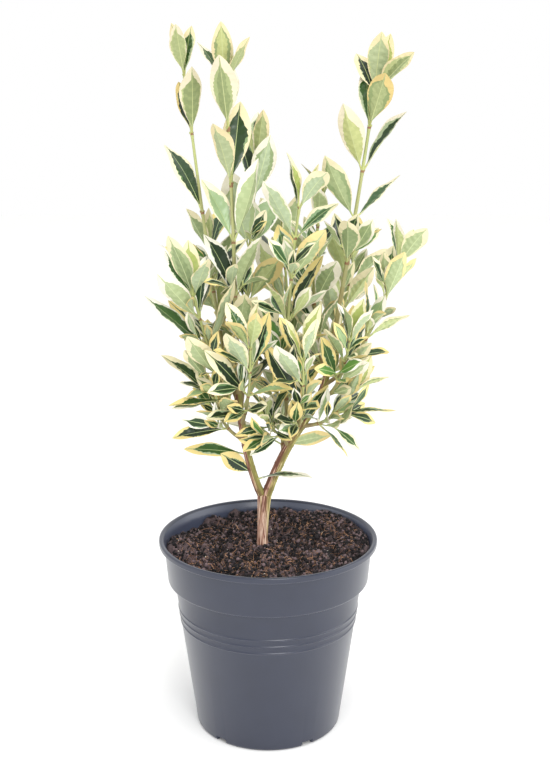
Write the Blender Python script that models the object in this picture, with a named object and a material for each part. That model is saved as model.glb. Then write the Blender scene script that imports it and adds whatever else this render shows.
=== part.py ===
"""Potted euonymus: a young variegated evergreen shrub in a round plastic grow pot.

Frame: +Z up, origin at the centre of the pot's flat underside, the viewer's side towards -Y.
Lengths are named in millimetres and turned to metres by MM where a mesh is made.
Every shoot is one node: a stem with its leaves fused on. Leaves stand in opposite pairs along
the stem, each pair turned about it from the one below, by a seeded rule.
"""

import collections
import math
import random

import bmesh
import bpy
import numpy as np
from mathutils.bvhtree import BVHTree

MM = 0.001
UP = np.array((0.0, 0.0, 1.0))
CLEAR = 0.3
HEADING_STEP = 0.01

# Pot: a 19 cm thin-walled grow pot with a collar, a flared rim and three fine rings
POT_HEIGHT = 173.0
RIM_RADIUS = 95.0
RIM_DEPTH = 6.5
RIM_ROUND = 1.3
COLLAR_TOP_RADIUS = 90.4
COLLAR_FOOT_RADIUS = 87.6
COLLAR_FOOT_HEIGHT = 135.0
COLLAR_ROUND = 2.0
WALL_FOOT_RADIUS = 63.7
WALL_SLOPE = 0.136
WALL_THICK = 1.8
FLOOR_THICK = 2.4
FLOOR_FILLET = (1.0, 8.0)
FOOT_ROUND = 3.0
RING_HEIGHTS = (110.7, 104.4, 97.9)
RING_PROUD = 0.7
RING_HALF_WIDTH = 1.3
POT_SEGMENTS = 48
MERGE_WITHIN = 0.00001
SHARP_ANGLE = 35.0
DRAIN_SLOTS = 5
FIRST_SLOT = math.radians(32)
SLOT_WIDTH = 11.0
SLOT_TOP = 4.5
SLOT_RADII = (54.0, 75.0)

# Soil: filled to about 9 mm under the rim, higher on the right, flat where the trunk stands
SOIL_LEVEL = 163.7
SOIL_RISE = (0.05, -0.014)
SOIL_MOUND = 2.0
SOIL_WAVES = (11.0, 13.0, 7.0)
SOIL_WAVE_SHIFT = 1.3
SOIL_GAP = 1.2
SOIL_FLAT_RADIUS = 18.0
SOIL_SECTORS = 32
SOIL_RINGS = 5

# Limbs: control points of the centre line, radius at foot and tip, and what the foot is cut clear of
Limb = collections.namedtuple("Limb", "line radii clear_of")
LIMB_SIDES = 10
LIMB_RINGS = 10
LIMB_SHARP_ANGLE = 50.0
TRUNK_SUNK = 3.0
TRUNK_FLARE = 0.9
FORK_SWELL = 1.0
FLARE_POWER = 4
LIMBS = {
    "trunk": Limb(
        ((-5.5, -8, SOIL_LEVEL - TRUNK_SUNK), (-4.6, -5, 188), (-3.2, 0, 209)),
        (4.1, 5.2),
        (),
    ),
    "bough_right": Limb(
        ((-3, 0, 205), (7, 0, 236), (18, 0, 258), (31, 0, 276)),
        (4.4, 3.6),
        ("trunk",),
    ),
    "bough_left": Limb(
        ((-3.6, 0, 205), (-18, -3, 238), (-22, -5, 270), (-25, -4, 302)),
        (3.7, 2.9),
        ("trunk", "bough_right"),
    ),
    "bough_right_upper": Limb(
        ((31, 0, 276), (43, 1, 292), (50, 0, 312), (53, 0, 334)),
        (3.3, 2.7),
        ("bough_right",),
    ),
}

# Leaves: a pointed blade on a short stalk, widest just past its middle and thickest along its midrib.
# Each draws its own roll about its length, width, curl, fold and twist, angles in radians, and has
# turned a part of the way to the light. Leaves are narrower low in the crown
STALK_PART = 0.15
STALK_HALF = 0.6
WIDTH_PART = 0.43
LOW_WIDTH_PART = 0.32
NARROW_BETWEEN = (270.0, 400.0)
TIP_LEAF_WIDTH_PART = 0.38
FOOT_TAPER = 1.15
TIP_TAPER = 0.95
BLADE_STATIONS = (0.38, 0.74)
LEAF_THICK = 0.8
LIFT = 0.10
ROLL = 0.4
LIGHT_FROM = np.array((0.1, -1.0, 0.3))
FACING_PART = 0.3
WIDTH_RANGE = (0.92, 1.1)
CURL_RANGE = (-0.55, 0.25)
FOLD_RANGE = (0.2, 0.6)
TWIST = 0.3
STRAIGHT_ENOUGH = 0.001

# A leaf keeps this far from all others. One that would touch is stepped aside, in degrees of turn
# and spread, and is left out where no step is clear
KEEP_AWAY = 0.6
GUARD_FROM = 0.14
SIDESTEPS = ((0, 0), (16, -3), (-16, -3), (30, -6), (-30, -6), (0, 12))

# Stems: five-sided, half as thick at the tip as at the foot
STEM_SIDES = 5
STEM_RINGS = 9
STEM_TAPER = 0.5
CARRY_ON = 30.0
SWING_OUT = 16.0
SWING_UP = 14.0

# Pairs of leaves up a stem, angles in degrees, sizes as parts of the shoot's leaf length
TURN_STEP = 85.0
START_WANDER = 45.0
SET_WANDER = 14.0
RULED_WANDER = 26.0
CROWDING = 1.3
LOW_PAIR_SIZE = 0.85
MIDDLE_GAIN = 0.6
TOP_PAIR_SIZE = 0.9
SPREAD_WANDER = 11.0
LENGTH_RANGE = (0.82, 1.12)
TIP_TURN_WANDER = 20.0
TIP_SPREAD = (8.0, 20.0)
TIP_LENGTH = (0.6, 0.85)

# Shoots. Each grows from a place along a limb to its tip, with its middle bowed aside. Bare is the
# part of the stem under the lowest pair, spread the angle of the lowest and highest pair from the
# stem, turns the direction of each pair about the stem, or of the first where they follow the step
Shoot = collections.namedtuple("Shoot", "limb at tip bow radius pairs bare leaf spread turns seed")
SHOOTS = {
    "shoot_right_tall": Shoot(
        "bough_right_upper", 1.0, (85, 0, 547), (2, 0, 0), 2.3,
        5, 0.50, 54, (46, 30), (-90, 30, 30, -75, -30), 817,
    ),
    "shoot_left_inner": Shoot(
        "bough_left", 1.0, (-33, -12, 552), (4, -6, 0), 2.2,
        7, 0.11, 59, (30, 18), (0, 100, -32, 170, 75, 90, -15), 325,
    ),
    "shoot_left_tall": Shoot(
        "bough_left", 0.93, (-67, 15, 561), (-5, 4, 0), 2.0,
        5, 0.29, 52, (30, 14), (-30, 0, -15, -60, 20), 367,
    ),
    "shoot_left_back": Shoot(
        "bough_left", 0.86, (-9, 28, 490), (-4, 14, 0), 2.0,
        6, 0.18, 60, (56, 18), (15, 60, -45, 60, -60, -80), 806,
    ),
    "shoot_centre": Shoot(
        "bough_right", 0.70, (25, -18, 458), (-10, -8, 0), 2.1,
        6, 0.34, 50, (50, 30), (20,), 240,
    ),
    "shoot_centre_right": Shoot(
        "bough_right_upper", 0.75, (45, 22, 462), (-14, 10, 0), 1.9,
        6, 0.10, 42, (50, 26), (80,), 854,
    ),
    "shoot_right_side": Shoot(
        "bough_right_upper", 0.60, (105, -18, 412), (12, -6, -6), 1.9,
        4, 0.28, 47, (34, 30), (-90, 0, -90, -60), 895,
    ),
    "shoot_left_side": Shoot(
        "bough_left", 0.79, (-60, -24, 388), (-4, -8, -4), 1.9,
        5, 0.30, 60, (60, 36), (10,), 430,
    ),
    "shoot_right_low": Shoot(
        "bough_right", 0.93, (68, -14, 304), (6, -6, -8), 1.8,
        5, 0.30, 44, (66, 40), (0,), 45,
    ),
    "shoot_right_mid": Shoot(
        "bough_right_upper", 0.30, (66, -34, 352), (8, -10, -8), 1.8,
        4, 0.30, 46, (56, 34), (30,), 867,
    ),
    "shoot_centre_low": Shoot(
        "bough_right", 0.62, (0, -26, 284), (-4, -6, 0), 1.5,
        4, 0.43, 31, (75, 50), (20,), 838,
    ),
    "shoot_left_low": Shoot(
        "bough_left", 0.57, (-50, -16, 318), (-6, -4, -8), 1.7,
        4, 0.35, 54, (64, 40), (0,), 241,
    ),
    "shoot_front_left": Shoot(
        "bough_left", 0.72, (-14, -52, 350), (4, -16, -6), 1.7,
        4, 0.30, 52, (58, 34), (50,), 665,
    ),
    "shoot_front_centre": Shoot(
        "bough_right", 0.80, (28, -52, 340), (4, -16, -6), 1.7,
        4, 0.27, 52, (58, 34), (30,), 312,
    ),
    "shoot_back_left": Shoot(
        "bough_left", 0.65, (-50, 62, 410), (-2, 18, -8), 2.0,
        6, 0.20, 59, (50, 30), (0,), 805,
    ),
    "shoot_back_centre": Shoot(
        "bough_right", 0.85, (14, 72, 420), (0, 20, -8), 2.0,
        6, 0.23, 59, (50, 26), (10,), 915,
    ),
    "shoot_back_right": Shoot(
        "bough_right_upper", 0.45, (74, 58, 400), (4, 18, -8), 2.0,
        6, 0.23, 47, (50, 30), (30,), 602,
    ),
    "shoot_back_low": Shoot(
        "bough_right", 0.50, (6, 48, 320), (0, 14, -8), 1.8,
        5, 0.16, 52, (60, 38), (10,), 752,
    ),
}

# Single leaves that stand straight on the left bough, low down
LowLeaf = collections.namedtuple("LowLeaf", "limb at turn spread length width_part curl facing")
LOW_LEAF_SEED = 7
LOW_LEAVES = {
    "low_leaf_left": LowLeaf("bough_left", 0.44, 185, 72, 48, 0.32, -0.3, 0.4),
    "low_leaf_oval": LowLeaf("bough_left", 0.26, 195, 42, 31, 0.54, 0.1, 0.95),
    "low_leaf_fork": LowLeaf("bough_left", 0.20, -32, 84, 52, 0.28, -0.5, 0.0),
}

POT_FINISH = ((0.115, 0.125, 0.165), 0.45)
SOIL_FINISH = ((0.040, 0.026, 0.022), 0.95)
BARK_FINISH = ((0.42, 0.28, 0.17), 0.8)
LEAF_FINISH = ((0.42, 0.52, 0.27), 0.5)


def unit(v):
    return v / np.linalg.norm(v)


def turned(v, axis, angle):
    """The vector turned about a unit axis."""
    c, s = math.cos(angle), math.sin(angle)
    return v * c + np.cross(axis, v) * s + axis * (axis @ v) * (1 - c)


def curve_point(control, t):
    """Bezier curve of any degree, by repeated blending of its control points."""
    rows = [np.asarray(point, float) for point in control]
    while len(rows) > 1:
        rows = [a * (1 - t) + b * t for a, b in zip(rows, rows[1:])]
    return rows[0]


def curve_heading(control, t):
    """The curve's direction, from a short step to each side."""
    before, after = max(t - HEADING_STEP, 0), min(t + HEADING_STEP, 1)
    return unit(curve_point(control, after) - curve_point(control, before))


def clear_scene():
    for obj in list(bpy.data.objects):
        bpy.data.objects.remove(obj, do_unlink=True)


def finish(name, colour_and_roughness):
    colour, roughness = colour_and_roughness
    material = bpy.data.materials.new(name)
    material.use_nodes = True
    shader = material.node_tree.nodes["Principled BSDF"]
    shader.inputs["Base Color"].default_value = (*colour, 1.0)
    shader.inputs["Roughness"].default_value = roughness
    return material


def add_object(name, points, faces, material=None):
    """A mesh object from points in millimetres, its faces turned outwards."""
    mesh = bpy.data.meshes.new(name)
    mesh.from_pydata((np.asarray(points) * MM).tolist(), [], [list(face) for face in faces])
    work = bmesh.new()
    work.from_mesh(mesh)
    bmesh.ops.recalc_face_normals(work, faces=work.faces)
    work.to_mesh(mesh)
    work.free()
    obj = bpy.data.objects.new(name, mesh)
    bpy.context.scene.collection.objects.link(obj)
    if material:
        mesh.materials.append(material)
    return obj


def apply_modifiers(obj):
    graph = bpy.context.evaluated_depsgraph_get()
    solid = bpy.data.meshes.new_from_object(obj.evaluated_get(graph))
    obj.modifiers.clear()
    obj.data = solid


def remove_objects(objects):
    for obj in objects:
        bpy.data.objects.remove(obj, do_unlink=True)


def cut_away(obj, cutter):
    """Cuts the cutter from the object and removes it."""
    boolean = obj.modifiers.new("cut", "BOOLEAN")
    boolean.operation = "DIFFERENCE"
    boolean.solver = "EXACT"
    boolean.object = cutter
    apply_modifiers(obj)
    remove_objects([cutter])


def rings_to_faces(count, sides):
    """Quads between rings of points in a row, with a cap on each end."""
    faces = [tuple(range(sides)), tuple(range((count - 1) * sides, count * sides))]
    for ring in range(count - 1):
        for side in range(sides):
            after = (side + 1) % sides
            low, high = ring * sides, (ring + 1) * sides
            faces.append((low + side, low + after, high + after, high + side))
    return faces


def tube(control, radius_at, sides, rings, past_ends=0.0):
    """Points and faces of a round rod along a curve, its radius a function of the place along it."""
    points = []
    for t in np.linspace(0, 1, rings):
        heading = curve_heading(control, t)
        across = unit(np.cross(heading, (0.0, 1.0, 0.0)))
        deep = np.cross(heading, across)
        centre = curve_point(control, t)
        if t in (0, 1):
            centre = centre + heading * past_ends * (1 if t else -1)
        for angle in np.arange(sides) * 2 * math.pi / sides:
            points.append(centre + radius_at(t) * (math.cos(angle) * across + math.sin(angle) * deep))
    return np.array(points), rings_to_faces(rings, sides)


def wall_radius(height):
    return WALL_FOOT_RADIUS + WALL_SLOPE * height


def collar_radius(height):
    part = (height - COLLAR_FOOT_HEIGHT) / (POT_HEIGHT - RIM_DEPTH - COLLAR_FOOT_HEIGHT)
    return COLLAR_FOOT_RADIUS + part * (COLLAR_TOP_RADIUS - COLLAR_FOOT_RADIUS)


def inner_radius(height):
    """Radius of the pot's inner face, which steps out where the collar does."""
    outer = collar_radius if height > COLLAR_FOOT_HEIGHT + WALL_THICK else wall_radius
    return outer(height) - WALL_THICK


def pot_profile():
    """Half section, from the inner floor's centre up the inside, over the rim and down the outside."""
    rim_foot = POT_HEIGHT - RIM_DEPTH
    ledge = COLLAR_FOOT_HEIGHT + WALL_THICK
    inward, upward = FLOOR_FILLET
    profile = [(0, FLOOR_THICK), (inner_radius(FLOOR_THICK) - inward, FLOOR_THICK)]
    profile += [(inner_radius(upward), upward)]
    profile += [(inner_radius(ledge), ledge), (collar_radius(ledge) - WALL_THICK, ledge + WALL_THICK)]
    profile += [(inner_radius(rim_foot), rim_foot), (RIM_RADIUS - 2 * RIM_ROUND, POT_HEIGHT - RIM_ROUND)]
    profile += [(RIM_RADIUS - RIM_ROUND, POT_HEIGHT), (RIM_RADIUS, POT_HEIGHT - RIM_ROUND)]
    profile += [(RIM_RADIUS, POT_HEIGHT - 2 * RIM_ROUND)]
    profile += [(COLLAR_TOP_RADIUS + RIM_ROUND, rim_foot + RIM_ROUND)]
    profile += [(COLLAR_TOP_RADIUS, rim_foot), (COLLAR_FOOT_RADIUS, COLLAR_FOOT_HEIGHT + COLLAR_ROUND)]
    profile += [(COLLAR_FOOT_RADIUS - COLLAR_ROUND, COLLAR_FOOT_HEIGHT)]
    profile += [(wall_radius(COLLAR_FOOT_HEIGHT), COLLAR_FOOT_HEIGHT)]
    for height in RING_HEIGHTS:
        profile.append((wall_radius(height + RING_HALF_WIDTH), height + RING_HALF_WIDTH))
        profile.append((wall_radius(height) + RING_PROUD, height))
        profile.append((wall_radius(height - RING_HALF_WIDTH), height - RING_HALF_WIDTH))
    for angle in (0, math.pi / 4, math.pi / 2):
        profile.append((
            wall_radius(FOOT_ROUND) - FOOT_ROUND * (1 - math.cos(angle)),
            FOOT_ROUND * (1 - math.sin(angle)),
        ))
    return profile + [(0, 0)]


def make_pot(material):
    profile = pot_profile()
    edges = [(i, i + 1) for i in range(len(profile) - 1)]
    mesh = bpy.data.meshes.new("pot")
    mesh.from_pydata([(radius * MM, 0, height * MM) for radius, height in profile], edges, [])
    mesh.materials.append(material)
    pot = bpy.data.objects.new("pot", mesh)
    bpy.context.scene.collection.objects.link(pot)
    turn = pot.modifiers.new("turn", "SCREW")
    turn.steps = turn.render_steps = POT_SEGMENTS
    turn.use_merge_vertices = True
    turn.merge_threshold = MERGE_WITHIN
    turn.use_smooth_shade = True
    apply_modifiers(pot)
    cut_away(pot, drain_cutter())
    pot.data.shade_smooth()
    pot.data.set_sharp_from_angle(angle=math.radians(SHARP_ANGLE))
    return pot


def drain_cutter():
    """Blocks that open slots through the wall's lower corner, evenly round from the first.

    Their turn counts from the front towards the right.
    """
    points, faces = [], []
    for turn in FIRST_SLOT + np.arange(DRAIN_SLOTS) * 2 * math.pi / DRAIN_SLOTS:
        out = np.array((math.sin(turn), -math.cos(turn), 0))
        along = np.array((math.cos(turn), math.sin(turn), 0))
        start = len(points)
        for radius in SLOT_RADII:
            for side, height in ((-1, -1), (1, -1), (1, SLOT_TOP), (-1, SLOT_TOP)):
                points.append(out * radius + along * side * SLOT_WIDTH / 2 + UP * height)
        faces += [tuple(start + corner for corner in face) for face in rings_to_faces(2, 4)]
    cutter = add_object("drain_cutter", points, faces)
    cutter.hide_render = True
    cutter.display_type = "WIRE"
    return cutter


def soil_height(x, y):
    """A plane that rises to the right and falls to the back, with low mounds away from the trunk."""
    distance = math.hypot(x, y)
    away = min(max((distance - SOIL_FLAT_RADIUS) / SOIL_FLAT_RADIUS, 0), 1)
    across, deep, slanting = SOIL_WAVES
    mounds = math.sin(x / across + SOIL_WAVE_SHIFT) * math.cos(y / deep)
    mounds += math.sin((x + y) / slanting) / 2
    return SOIL_LEVEL + away * (SOIL_RISE[0] * x + SOIL_RISE[1] * y + SOIL_MOUND * mounds)


def make_soil(material):
    """A plug that fills the pot to its soil level, clear of the wall all round."""
    ledge = COLLAR_FOOT_HEIGHT + WALL_THICK
    side = [(inner_radius(FLOOR_THICK), FLOOR_THICK), (inner_radius(ledge), ledge + WALL_THICK)]
    side += [(collar_radius(ledge) - WALL_THICK, ledge + 2 * WALL_THICK)]
    points, rings = [], 0
    for radius, height in [(radius - SOIL_GAP, height + CLEAR) for radius, height in side]:
        rings += 1
        for angle in np.arange(SOIL_SECTORS) * 2 * math.pi / SOIL_SECTORS:
            points.append((radius * math.cos(angle), radius * math.sin(angle), height))
    rim = inner_radius(SOIL_LEVEL) - SOIL_GAP
    for radius in np.linspace(rim, SOIL_FLAT_RADIUS, SOIL_RINGS):
        rings += 1
        for angle in np.arange(SOIL_SECTORS) * 2 * math.pi / SOIL_SECTORS:
            x, y = radius * math.cos(angle), radius * math.sin(angle)
            points.append((x, y, soil_height(x, y)))
    soil = add_object("soil", points, rings_to_faces(rings, SOIL_SECTORS), material)
    soil.data.shade_smooth()
    return soil


def limb_radius(name):
    """Radius along a limb: an even taper, with a root flare and a swollen fork on the trunk."""
    foot, tip = LIMBS[name].radii
    flare, swell = (TRUNK_FLARE, FORK_SWELL) if name == "trunk" else (0, 0)

    def radius_at(t):
        return foot + (tip - foot) * t + flare * (1 - t) ** FLARE_POWER + swell * t**FLARE_POWER

    return radius_at


def limb_guard(name):
    """The limb grown by the clearance, to cut what meets it."""
    radius_at = limb_radius(name)
    return tube(LIMBS[name].line, lambda t: radius_at(t) + CLEAR, LIMB_SIDES, LIMB_RINGS, CLEAR)


def ground_block():
    """Points and faces of the block of ground that cuts the trunk flat, just clear of the soil."""
    half, top = SOIL_FLAT_RADIUS, SOIL_LEVEL + CLEAR
    square = ((-half, -half), (half, -half), (half, half), (-half, half))
    return [(x, y, z) for z in (top - SOIL_FLAT_RADIUS, top) for x, y in square], rings_to_faces(2, 4)


def limb_tube(name):
    return tube(LIMBS[name].line, limb_radius(name), LIMB_SIDES, LIMB_RINGS)


def make_limb(name, material):
    limb = add_object(name, *limb_tube(name), material)
    for other in LIMBS[name].clear_of:
        cut_away(limb, add_object("guard", *limb_guard(other)))
    if name == "trunk":
        cut_away(limb, add_object("ground", *ground_block()))
    limb.data.shade_smooth()
    limb.data.set_sharp_from_angle(angle=math.radians(LIMB_SHARP_ANGLE))
    return limb


Leaf = collections.namedtuple("Leaf", "root ahead upper length width curl fold twist")


def turn_to_light(ahead, upper):
    """The lesser turn about its length that would set a leaf's upper or under face square to the light."""
    angle = math.atan2(LIGHT_FROM @ np.cross(ahead, upper), LIGHT_FROM @ upper)
    return angle - math.pi * round(angle / math.pi)


def width_part_at(height):
    """A leaf's width over its length: narrow low in the crown, and wider with height up to full width."""
    low, high = NARROW_BETWEEN
    part = min(max((height - low) / (high - low), 0), 1)
    return LOW_WIDTH_PART + (WIDTH_PART - LOW_WIDTH_PART) * part


def leaf_on(root, heading, turn, spread, length, width_part, curl, rng, facing=FACING_PART):
    """A leaf whose stalk leaves the stem by the spread, at a turn about it that counts from +X."""
    right = unit(np.cross((0.0, 1.0, 0.0), heading))
    outward = turned(right, heading, math.radians(turn))
    spread = math.radians(spread)
    ahead = unit(math.cos(spread) * heading + math.sin(spread) * outward + LIFT * UP)
    upper = unit(heading - ahead * (ahead @ heading))
    upper = turned(upper, ahead, rng.uniform(-ROLL, ROLL) + facing * turn_to_light(ahead, upper))
    width = length * width_part * rng.uniform(*WIDTH_RANGE)
    own_curl = rng.uniform(*CURL_RANGE)
    fold = rng.uniform(*FOLD_RANGE)
    twist = rng.uniform(-TWIST, TWIST)
    return Leaf(root, ahead, upper, length, width, own_curl if curl is None else curl, fold, twist)


def leaves_of(shoot):
    """The pairs of leaves up a shoot and the young pair at its tip, each as the draws for one leaf.

    Pairs crowd towards the tip, and the spread narrows from the lowest to the highest.
    """
    rng = random.Random(shoot.seed)
    stem = stem_line(shoot)
    turns, wander = shoot.turns, SET_WANDER
    if len(turns) == 1:
        start = turns[0] + rng.uniform(-START_WANDER, START_WANDER)
        turns, wander = [start + TURN_STEP * pair for pair in range(shoot.pairs)], RULED_WANDER
    leaves = []
    for pair in range(shoot.pairs):
        part = pair / (shoot.pairs - 1)
        at = shoot.bare + (1 - shoot.bare) * (1 - (1 - part) ** CROWDING)
        size = shoot.leaf * (LOW_PAIR_SIZE + MIDDLE_GAIN * part * (1 - part))
        size *= TOP_PAIR_SIZE if part == 1 else 1
        for half in (0, 180):
            turn = turns[pair] + half + rng.uniform(-wander, wander)
            spread = shoot.spread[0] + (shoot.spread[1] - shoot.spread[0]) * part
            spread += rng.uniform(-SPREAD_WANDER, SPREAD_WANDER)
            length = size * rng.uniform(*LENGTH_RANGE)
            width_part = width_part_at(curve_point(stem, at)[2])
            leaves.append(tries_at(stem, at, turn, spread, length, width_part, rng))
    for half in (0, 180):
        turn = turns[-1] + TURN_STEP + half + rng.uniform(-TIP_TURN_WANDER, TIP_TURN_WANDER)
        spread = rng.uniform(*TIP_SPREAD)
        length = shoot.leaf * rng.uniform(*TIP_LENGTH)
        leaves.append(tries_at(stem, 1.0, turn, spread, length, TIP_LEAF_WIDTH_PART, rng))
    return leaves


def tries_at(stem, at, turn, spread, length, width_part, rng):
    """One leaf as drawn, and the same leaf stepped aside, for where the first would touch."""
    state = rng.getstate()
    root, heading = curve_point(stem, at), curve_heading(stem, at)
    tries = []
    for turn_step, spread_step in SIDESTEPS:
        rng.setstate(state)
        angles = turn + turn_step, spread + spread_step
        tries.append(leaf_on(root, heading, *angles, length, width_part, None, rng))
    return tries


def stem_line(shoot):
    """Control points of a stem that swings out from its limb's side, or carries on from its tip."""
    line = LIMBS[shoot.limb].line
    foot, heading = curve_point(line, shoot.at), curve_heading(line, shoot.at)
    tip = np.array(shoot.tip, float)
    middle = (foot + tip) / 2 + np.array(shoot.bow, float)
    if shoot.at == 1:
        return (foot, foot + heading * CARRY_ON, middle, tip)
    sideways = middle - foot
    sideways = unit(sideways - heading * (sideways @ heading))
    return (foot, foot + sideways * SWING_OUT + heading * SWING_UP, middle, tip)


def stem_tube(shoot, grown=0.0):
    def radius_at(t):
        return shoot.radius * (1 - STEM_TAPER * t) + grown

    return tube(stem_line(shoot), radius_at, STEM_SIDES, STEM_RINGS)


def half_width(leaf, t):
    """Half the blade's width: a power rise from the stalk and a nearly straight run to the tip."""
    widest = FOOT_TAPER / (FOOT_TAPER + TIP_TAPER)
    peak = widest**FOOT_TAPER * (1 - widest) ** TIP_TAPER
    return leaf.width / 2 * t**FOOT_TAPER * (1 - t) ** TIP_TAPER / peak


def blade_frame(leaf, t):
    """Midrib point, side and upper direction at t, on an arc that curls towards the upper face."""
    curl = leaf.curl if abs(leaf.curl) > STRAIGHT_ENOUGH else STRAIGHT_ENOUGH
    foot = leaf.root + leaf.ahead * leaf.length * STALK_PART
    rise, run = (1 - math.cos(curl * t)) / curl, math.sin(curl * t) / curl
    middle = foot + leaf.length * (run * leaf.ahead + rise * leaf.upper)
    forward = math.cos(curl * t) * leaf.ahead + math.sin(curl * t) * leaf.upper
    upper = math.cos(curl * t) * leaf.upper - math.sin(curl * t) * leaf.ahead
    side = turned(np.cross(forward, upper), forward, leaf.twist * t)
    return middle, side, np.cross(side, forward)


def blade_ring(leaf, t, half, thick):
    """Left edge, under the midrib, right edge and over the midrib, the edges raised by the fold."""
    middle, side, upper = blade_frame(leaf, t)
    out = half * math.cos(leaf.fold) * side
    raised = middle + half * math.sin(leaf.fold) * upper
    return [raised + out, middle - upper * thick / 2, raised - out, middle + upper * thick / 2]


def blade_faces(rings):
    """Triangles between rings of four, with a cap on the first.

    Each quad is split from the blade's edge below to its midrib above, over and under alike, so the
    two sides of the thin blade can't pass through each other.
    """
    faces = [(0, 1, 2), (0, 2, 3)]
    for ring in range(rings - 1):
        for side in range(4):
            a, b = ring * 4 + side, ring * 4 + (side + 1) % 4
            c, d = b + 4, a + 4
            faces += [(a, b, c), (a, c, d)] if side in (0, 2) else [(a, b, d), (b, c, d)]
    return faces


def leaf_solid(leaf):
    """Points and faces of a closed leaf: a square stalk from the stem's heart, then the blade."""
    side, upper = np.cross(leaf.ahead, leaf.upper), leaf.upper
    square = [side * STALK_HALF, -upper * STALK_HALF, -side * STALK_HALF, upper * STALK_HALF]
    foot = blade_frame(leaf, 0)[0]
    points = [leaf.root + corner for corner in square] + [foot + corner for corner in square]
    for t in BLADE_STATIONS:
        points += blade_ring(leaf, t, half_width(leaf, t), LEAF_THICK)
    points.append(blade_frame(leaf, 1)[0])
    rings = 2 + len(BLADE_STATIONS)
    last, tip = (rings - 1) * 4, rings * 4
    point = [(last + side, last + (side + 1) % 4, tip) for side in range(4)]
    return np.array(points), blade_faces(rings) + point


def tree_of(points, faces):
    return BVHTree.FromPolygons([tuple(point) for point in points], faces)


def blade_guard(leaf):
    """The blade beyond its foot, wider and thicker by the distance that leaves keep."""
    points = []
    for t in (GUARD_FROM, *BLADE_STATIONS, 1.0):
        points += blade_ring(leaf, t, half_width(leaf, t) + KEEP_AWAY, LEAF_THICK + 2 * KEEP_AWAY)
    return tree_of(points, rings_to_faces(4, 4))


def whole_guard(leaf):
    """The whole leaf from the stem's heart, grown by the same distance."""
    side, upper = np.cross(leaf.ahead, leaf.upper), leaf.upper
    half = STALK_HALF + KEEP_AWAY
    points = [leaf.root + corner * half for corner in (side, -upper, -side, upper)]
    for t in (0.0, GUARD_FROM, *BLADE_STATIONS, 1.0):
        points += blade_ring(leaf, t, half_width(leaf, t) + KEEP_AWAY, LEAF_THICK + 2 * KEEP_AWAY)
    return tree_of(points, rings_to_faces(6, 4))


def first_clear(tries, owner, taken):
    """The first of a leaf's tries that is clear of all placed so far, or None.

    Beside its own shoot only the blade counts, as the stalk grows out of the stem.
    """
    for leaf in tries:
        blade, whole = blade_guard(leaf), whole_guard(leaf)
        if not any((blade if other == owner else whole).overlap(tree) for other, tree in taken):
            return leaf
    return None


def keep_largest_shell(obj):
    """Drops loose scraps, and the inner shells of hollows that a union sealed, which fills them."""
    work = bmesh.new()
    work.from_mesh(obj.data)
    unseen, shells = set(work.faces), []
    while unseen:
        front = [unseen.pop()]
        shell = set(front)
        while front:
            face = front.pop()
            near = {other for edge in face.edges for other in edge.link_faces} - shell
            shell |= near
            front += near
        unseen -= shell
        shells.append(shell)
    largest = max(shells, key=len)
    bmesh.ops.delete(work, geom=[face for face in work.faces if face not in largest], context="FACES")
    work.to_mesh(obj.data)
    work.free()


def fuse(stem, leaves):
    """Joins the stem and its leaves into one closed body."""
    group = bpy.data.collections.new("leaves")
    bpy.context.scene.collection.children.link(group)
    solids = []
    for leaf in leaves:
        solid = add_object("leaf", *leaf_solid(leaf))
        bpy.context.scene.collection.objects.unlink(solid)
        group.objects.link(solid)
        solids.append(solid)
    union = stem.modifiers.new("fuse", "BOOLEAN")
    union.operation = "UNION"
    union.solver = "MANIFOLD"
    union.operand_type = "COLLECTION"
    union.collection = group
    apply_modifiers(stem)
    remove_objects(solids)
    bpy.data.collections.remove(group)
    keep_largest_shell(stem)


def make_shoot(name, leaves, made_before, material):
    """A stem cut clear of the limbs and of the stems made before it, with its leaves fused on."""
    stem = add_object(name, *stem_tube(SHOOTS[name]), material)
    tree = tree_of(*stem_tube(SHOOTS[name]))
    guards = [limb_guard(limb) for limb in LIMBS]
    guards += [stem_tube(SHOOTS[other], CLEAR) for other in made_before]
    for guard in guards:
        if tree.overlap(tree_of(*guard)):
            cut_away(stem, add_object("guard", *guard))
    keep_largest_shell(stem)
    fuse(stem, leaves)
    return stem


def low_leaf(low):
    line = LIMBS[low.limb].line
    rng = random.Random(LOW_LEAF_SEED)
    root, heading = curve_point(line, low.at), curve_heading(line, low.at)
    return leaf_on(root, heading, low.turn, low.spread, low.length, low.width_part, low.curl, rng, low.facing)


def make_low_leaf(name, material):
    low = LOW_LEAVES[name]
    solid = add_object(name, *leaf_solid(low_leaf(low)), material)
    cut_away(solid, add_object("guard", *limb_guard(low.limb)))
    return solid


clear_scene()
bark = finish("bark", BARK_FINISH)
foliage = finish("variegated_leaf", LEAF_FINISH)
make_pot(finish("slate_grey_plastic", POT_FINISH))
make_soil(finish("potting_compost", SOIL_FINISH))
for limb_name in LIMBS:
    make_limb(limb_name, bark)

placed = [(name, tree_of(*limb_tube(name))) for name in LIMBS]
placed += [(name, tree_of(*stem_tube(shoot))) for name, shoot in SHOOTS.items()]
for leaf_name, low_row in LOW_LEAVES.items():
    placed.append((leaf_name, tree_of(*leaf_solid(low_leaf(low_row)))))
    make_low_leaf(leaf_name, foliage)
made = []
for shoot_name, shoot_row in SHOOTS.items():
    kept = []
    for leaf_tries in leaves_of(shoot_row):
        found = first_clear(leaf_tries, shoot_name, placed)
        if found:
            kept.append(found)
            placed.append((shoot_name, tree_of(*leaf_solid(found))))
    make_shoot(shoot_name, kept, made, foliage)
    made.append(shoot_name)
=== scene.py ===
"""Looks of the potted euonymus, in the order in which the plant and its pot come together.

Lengths are named in millimetres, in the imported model's frame, and MM turns them to metres.
"""

import collections
import math
import random

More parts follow.
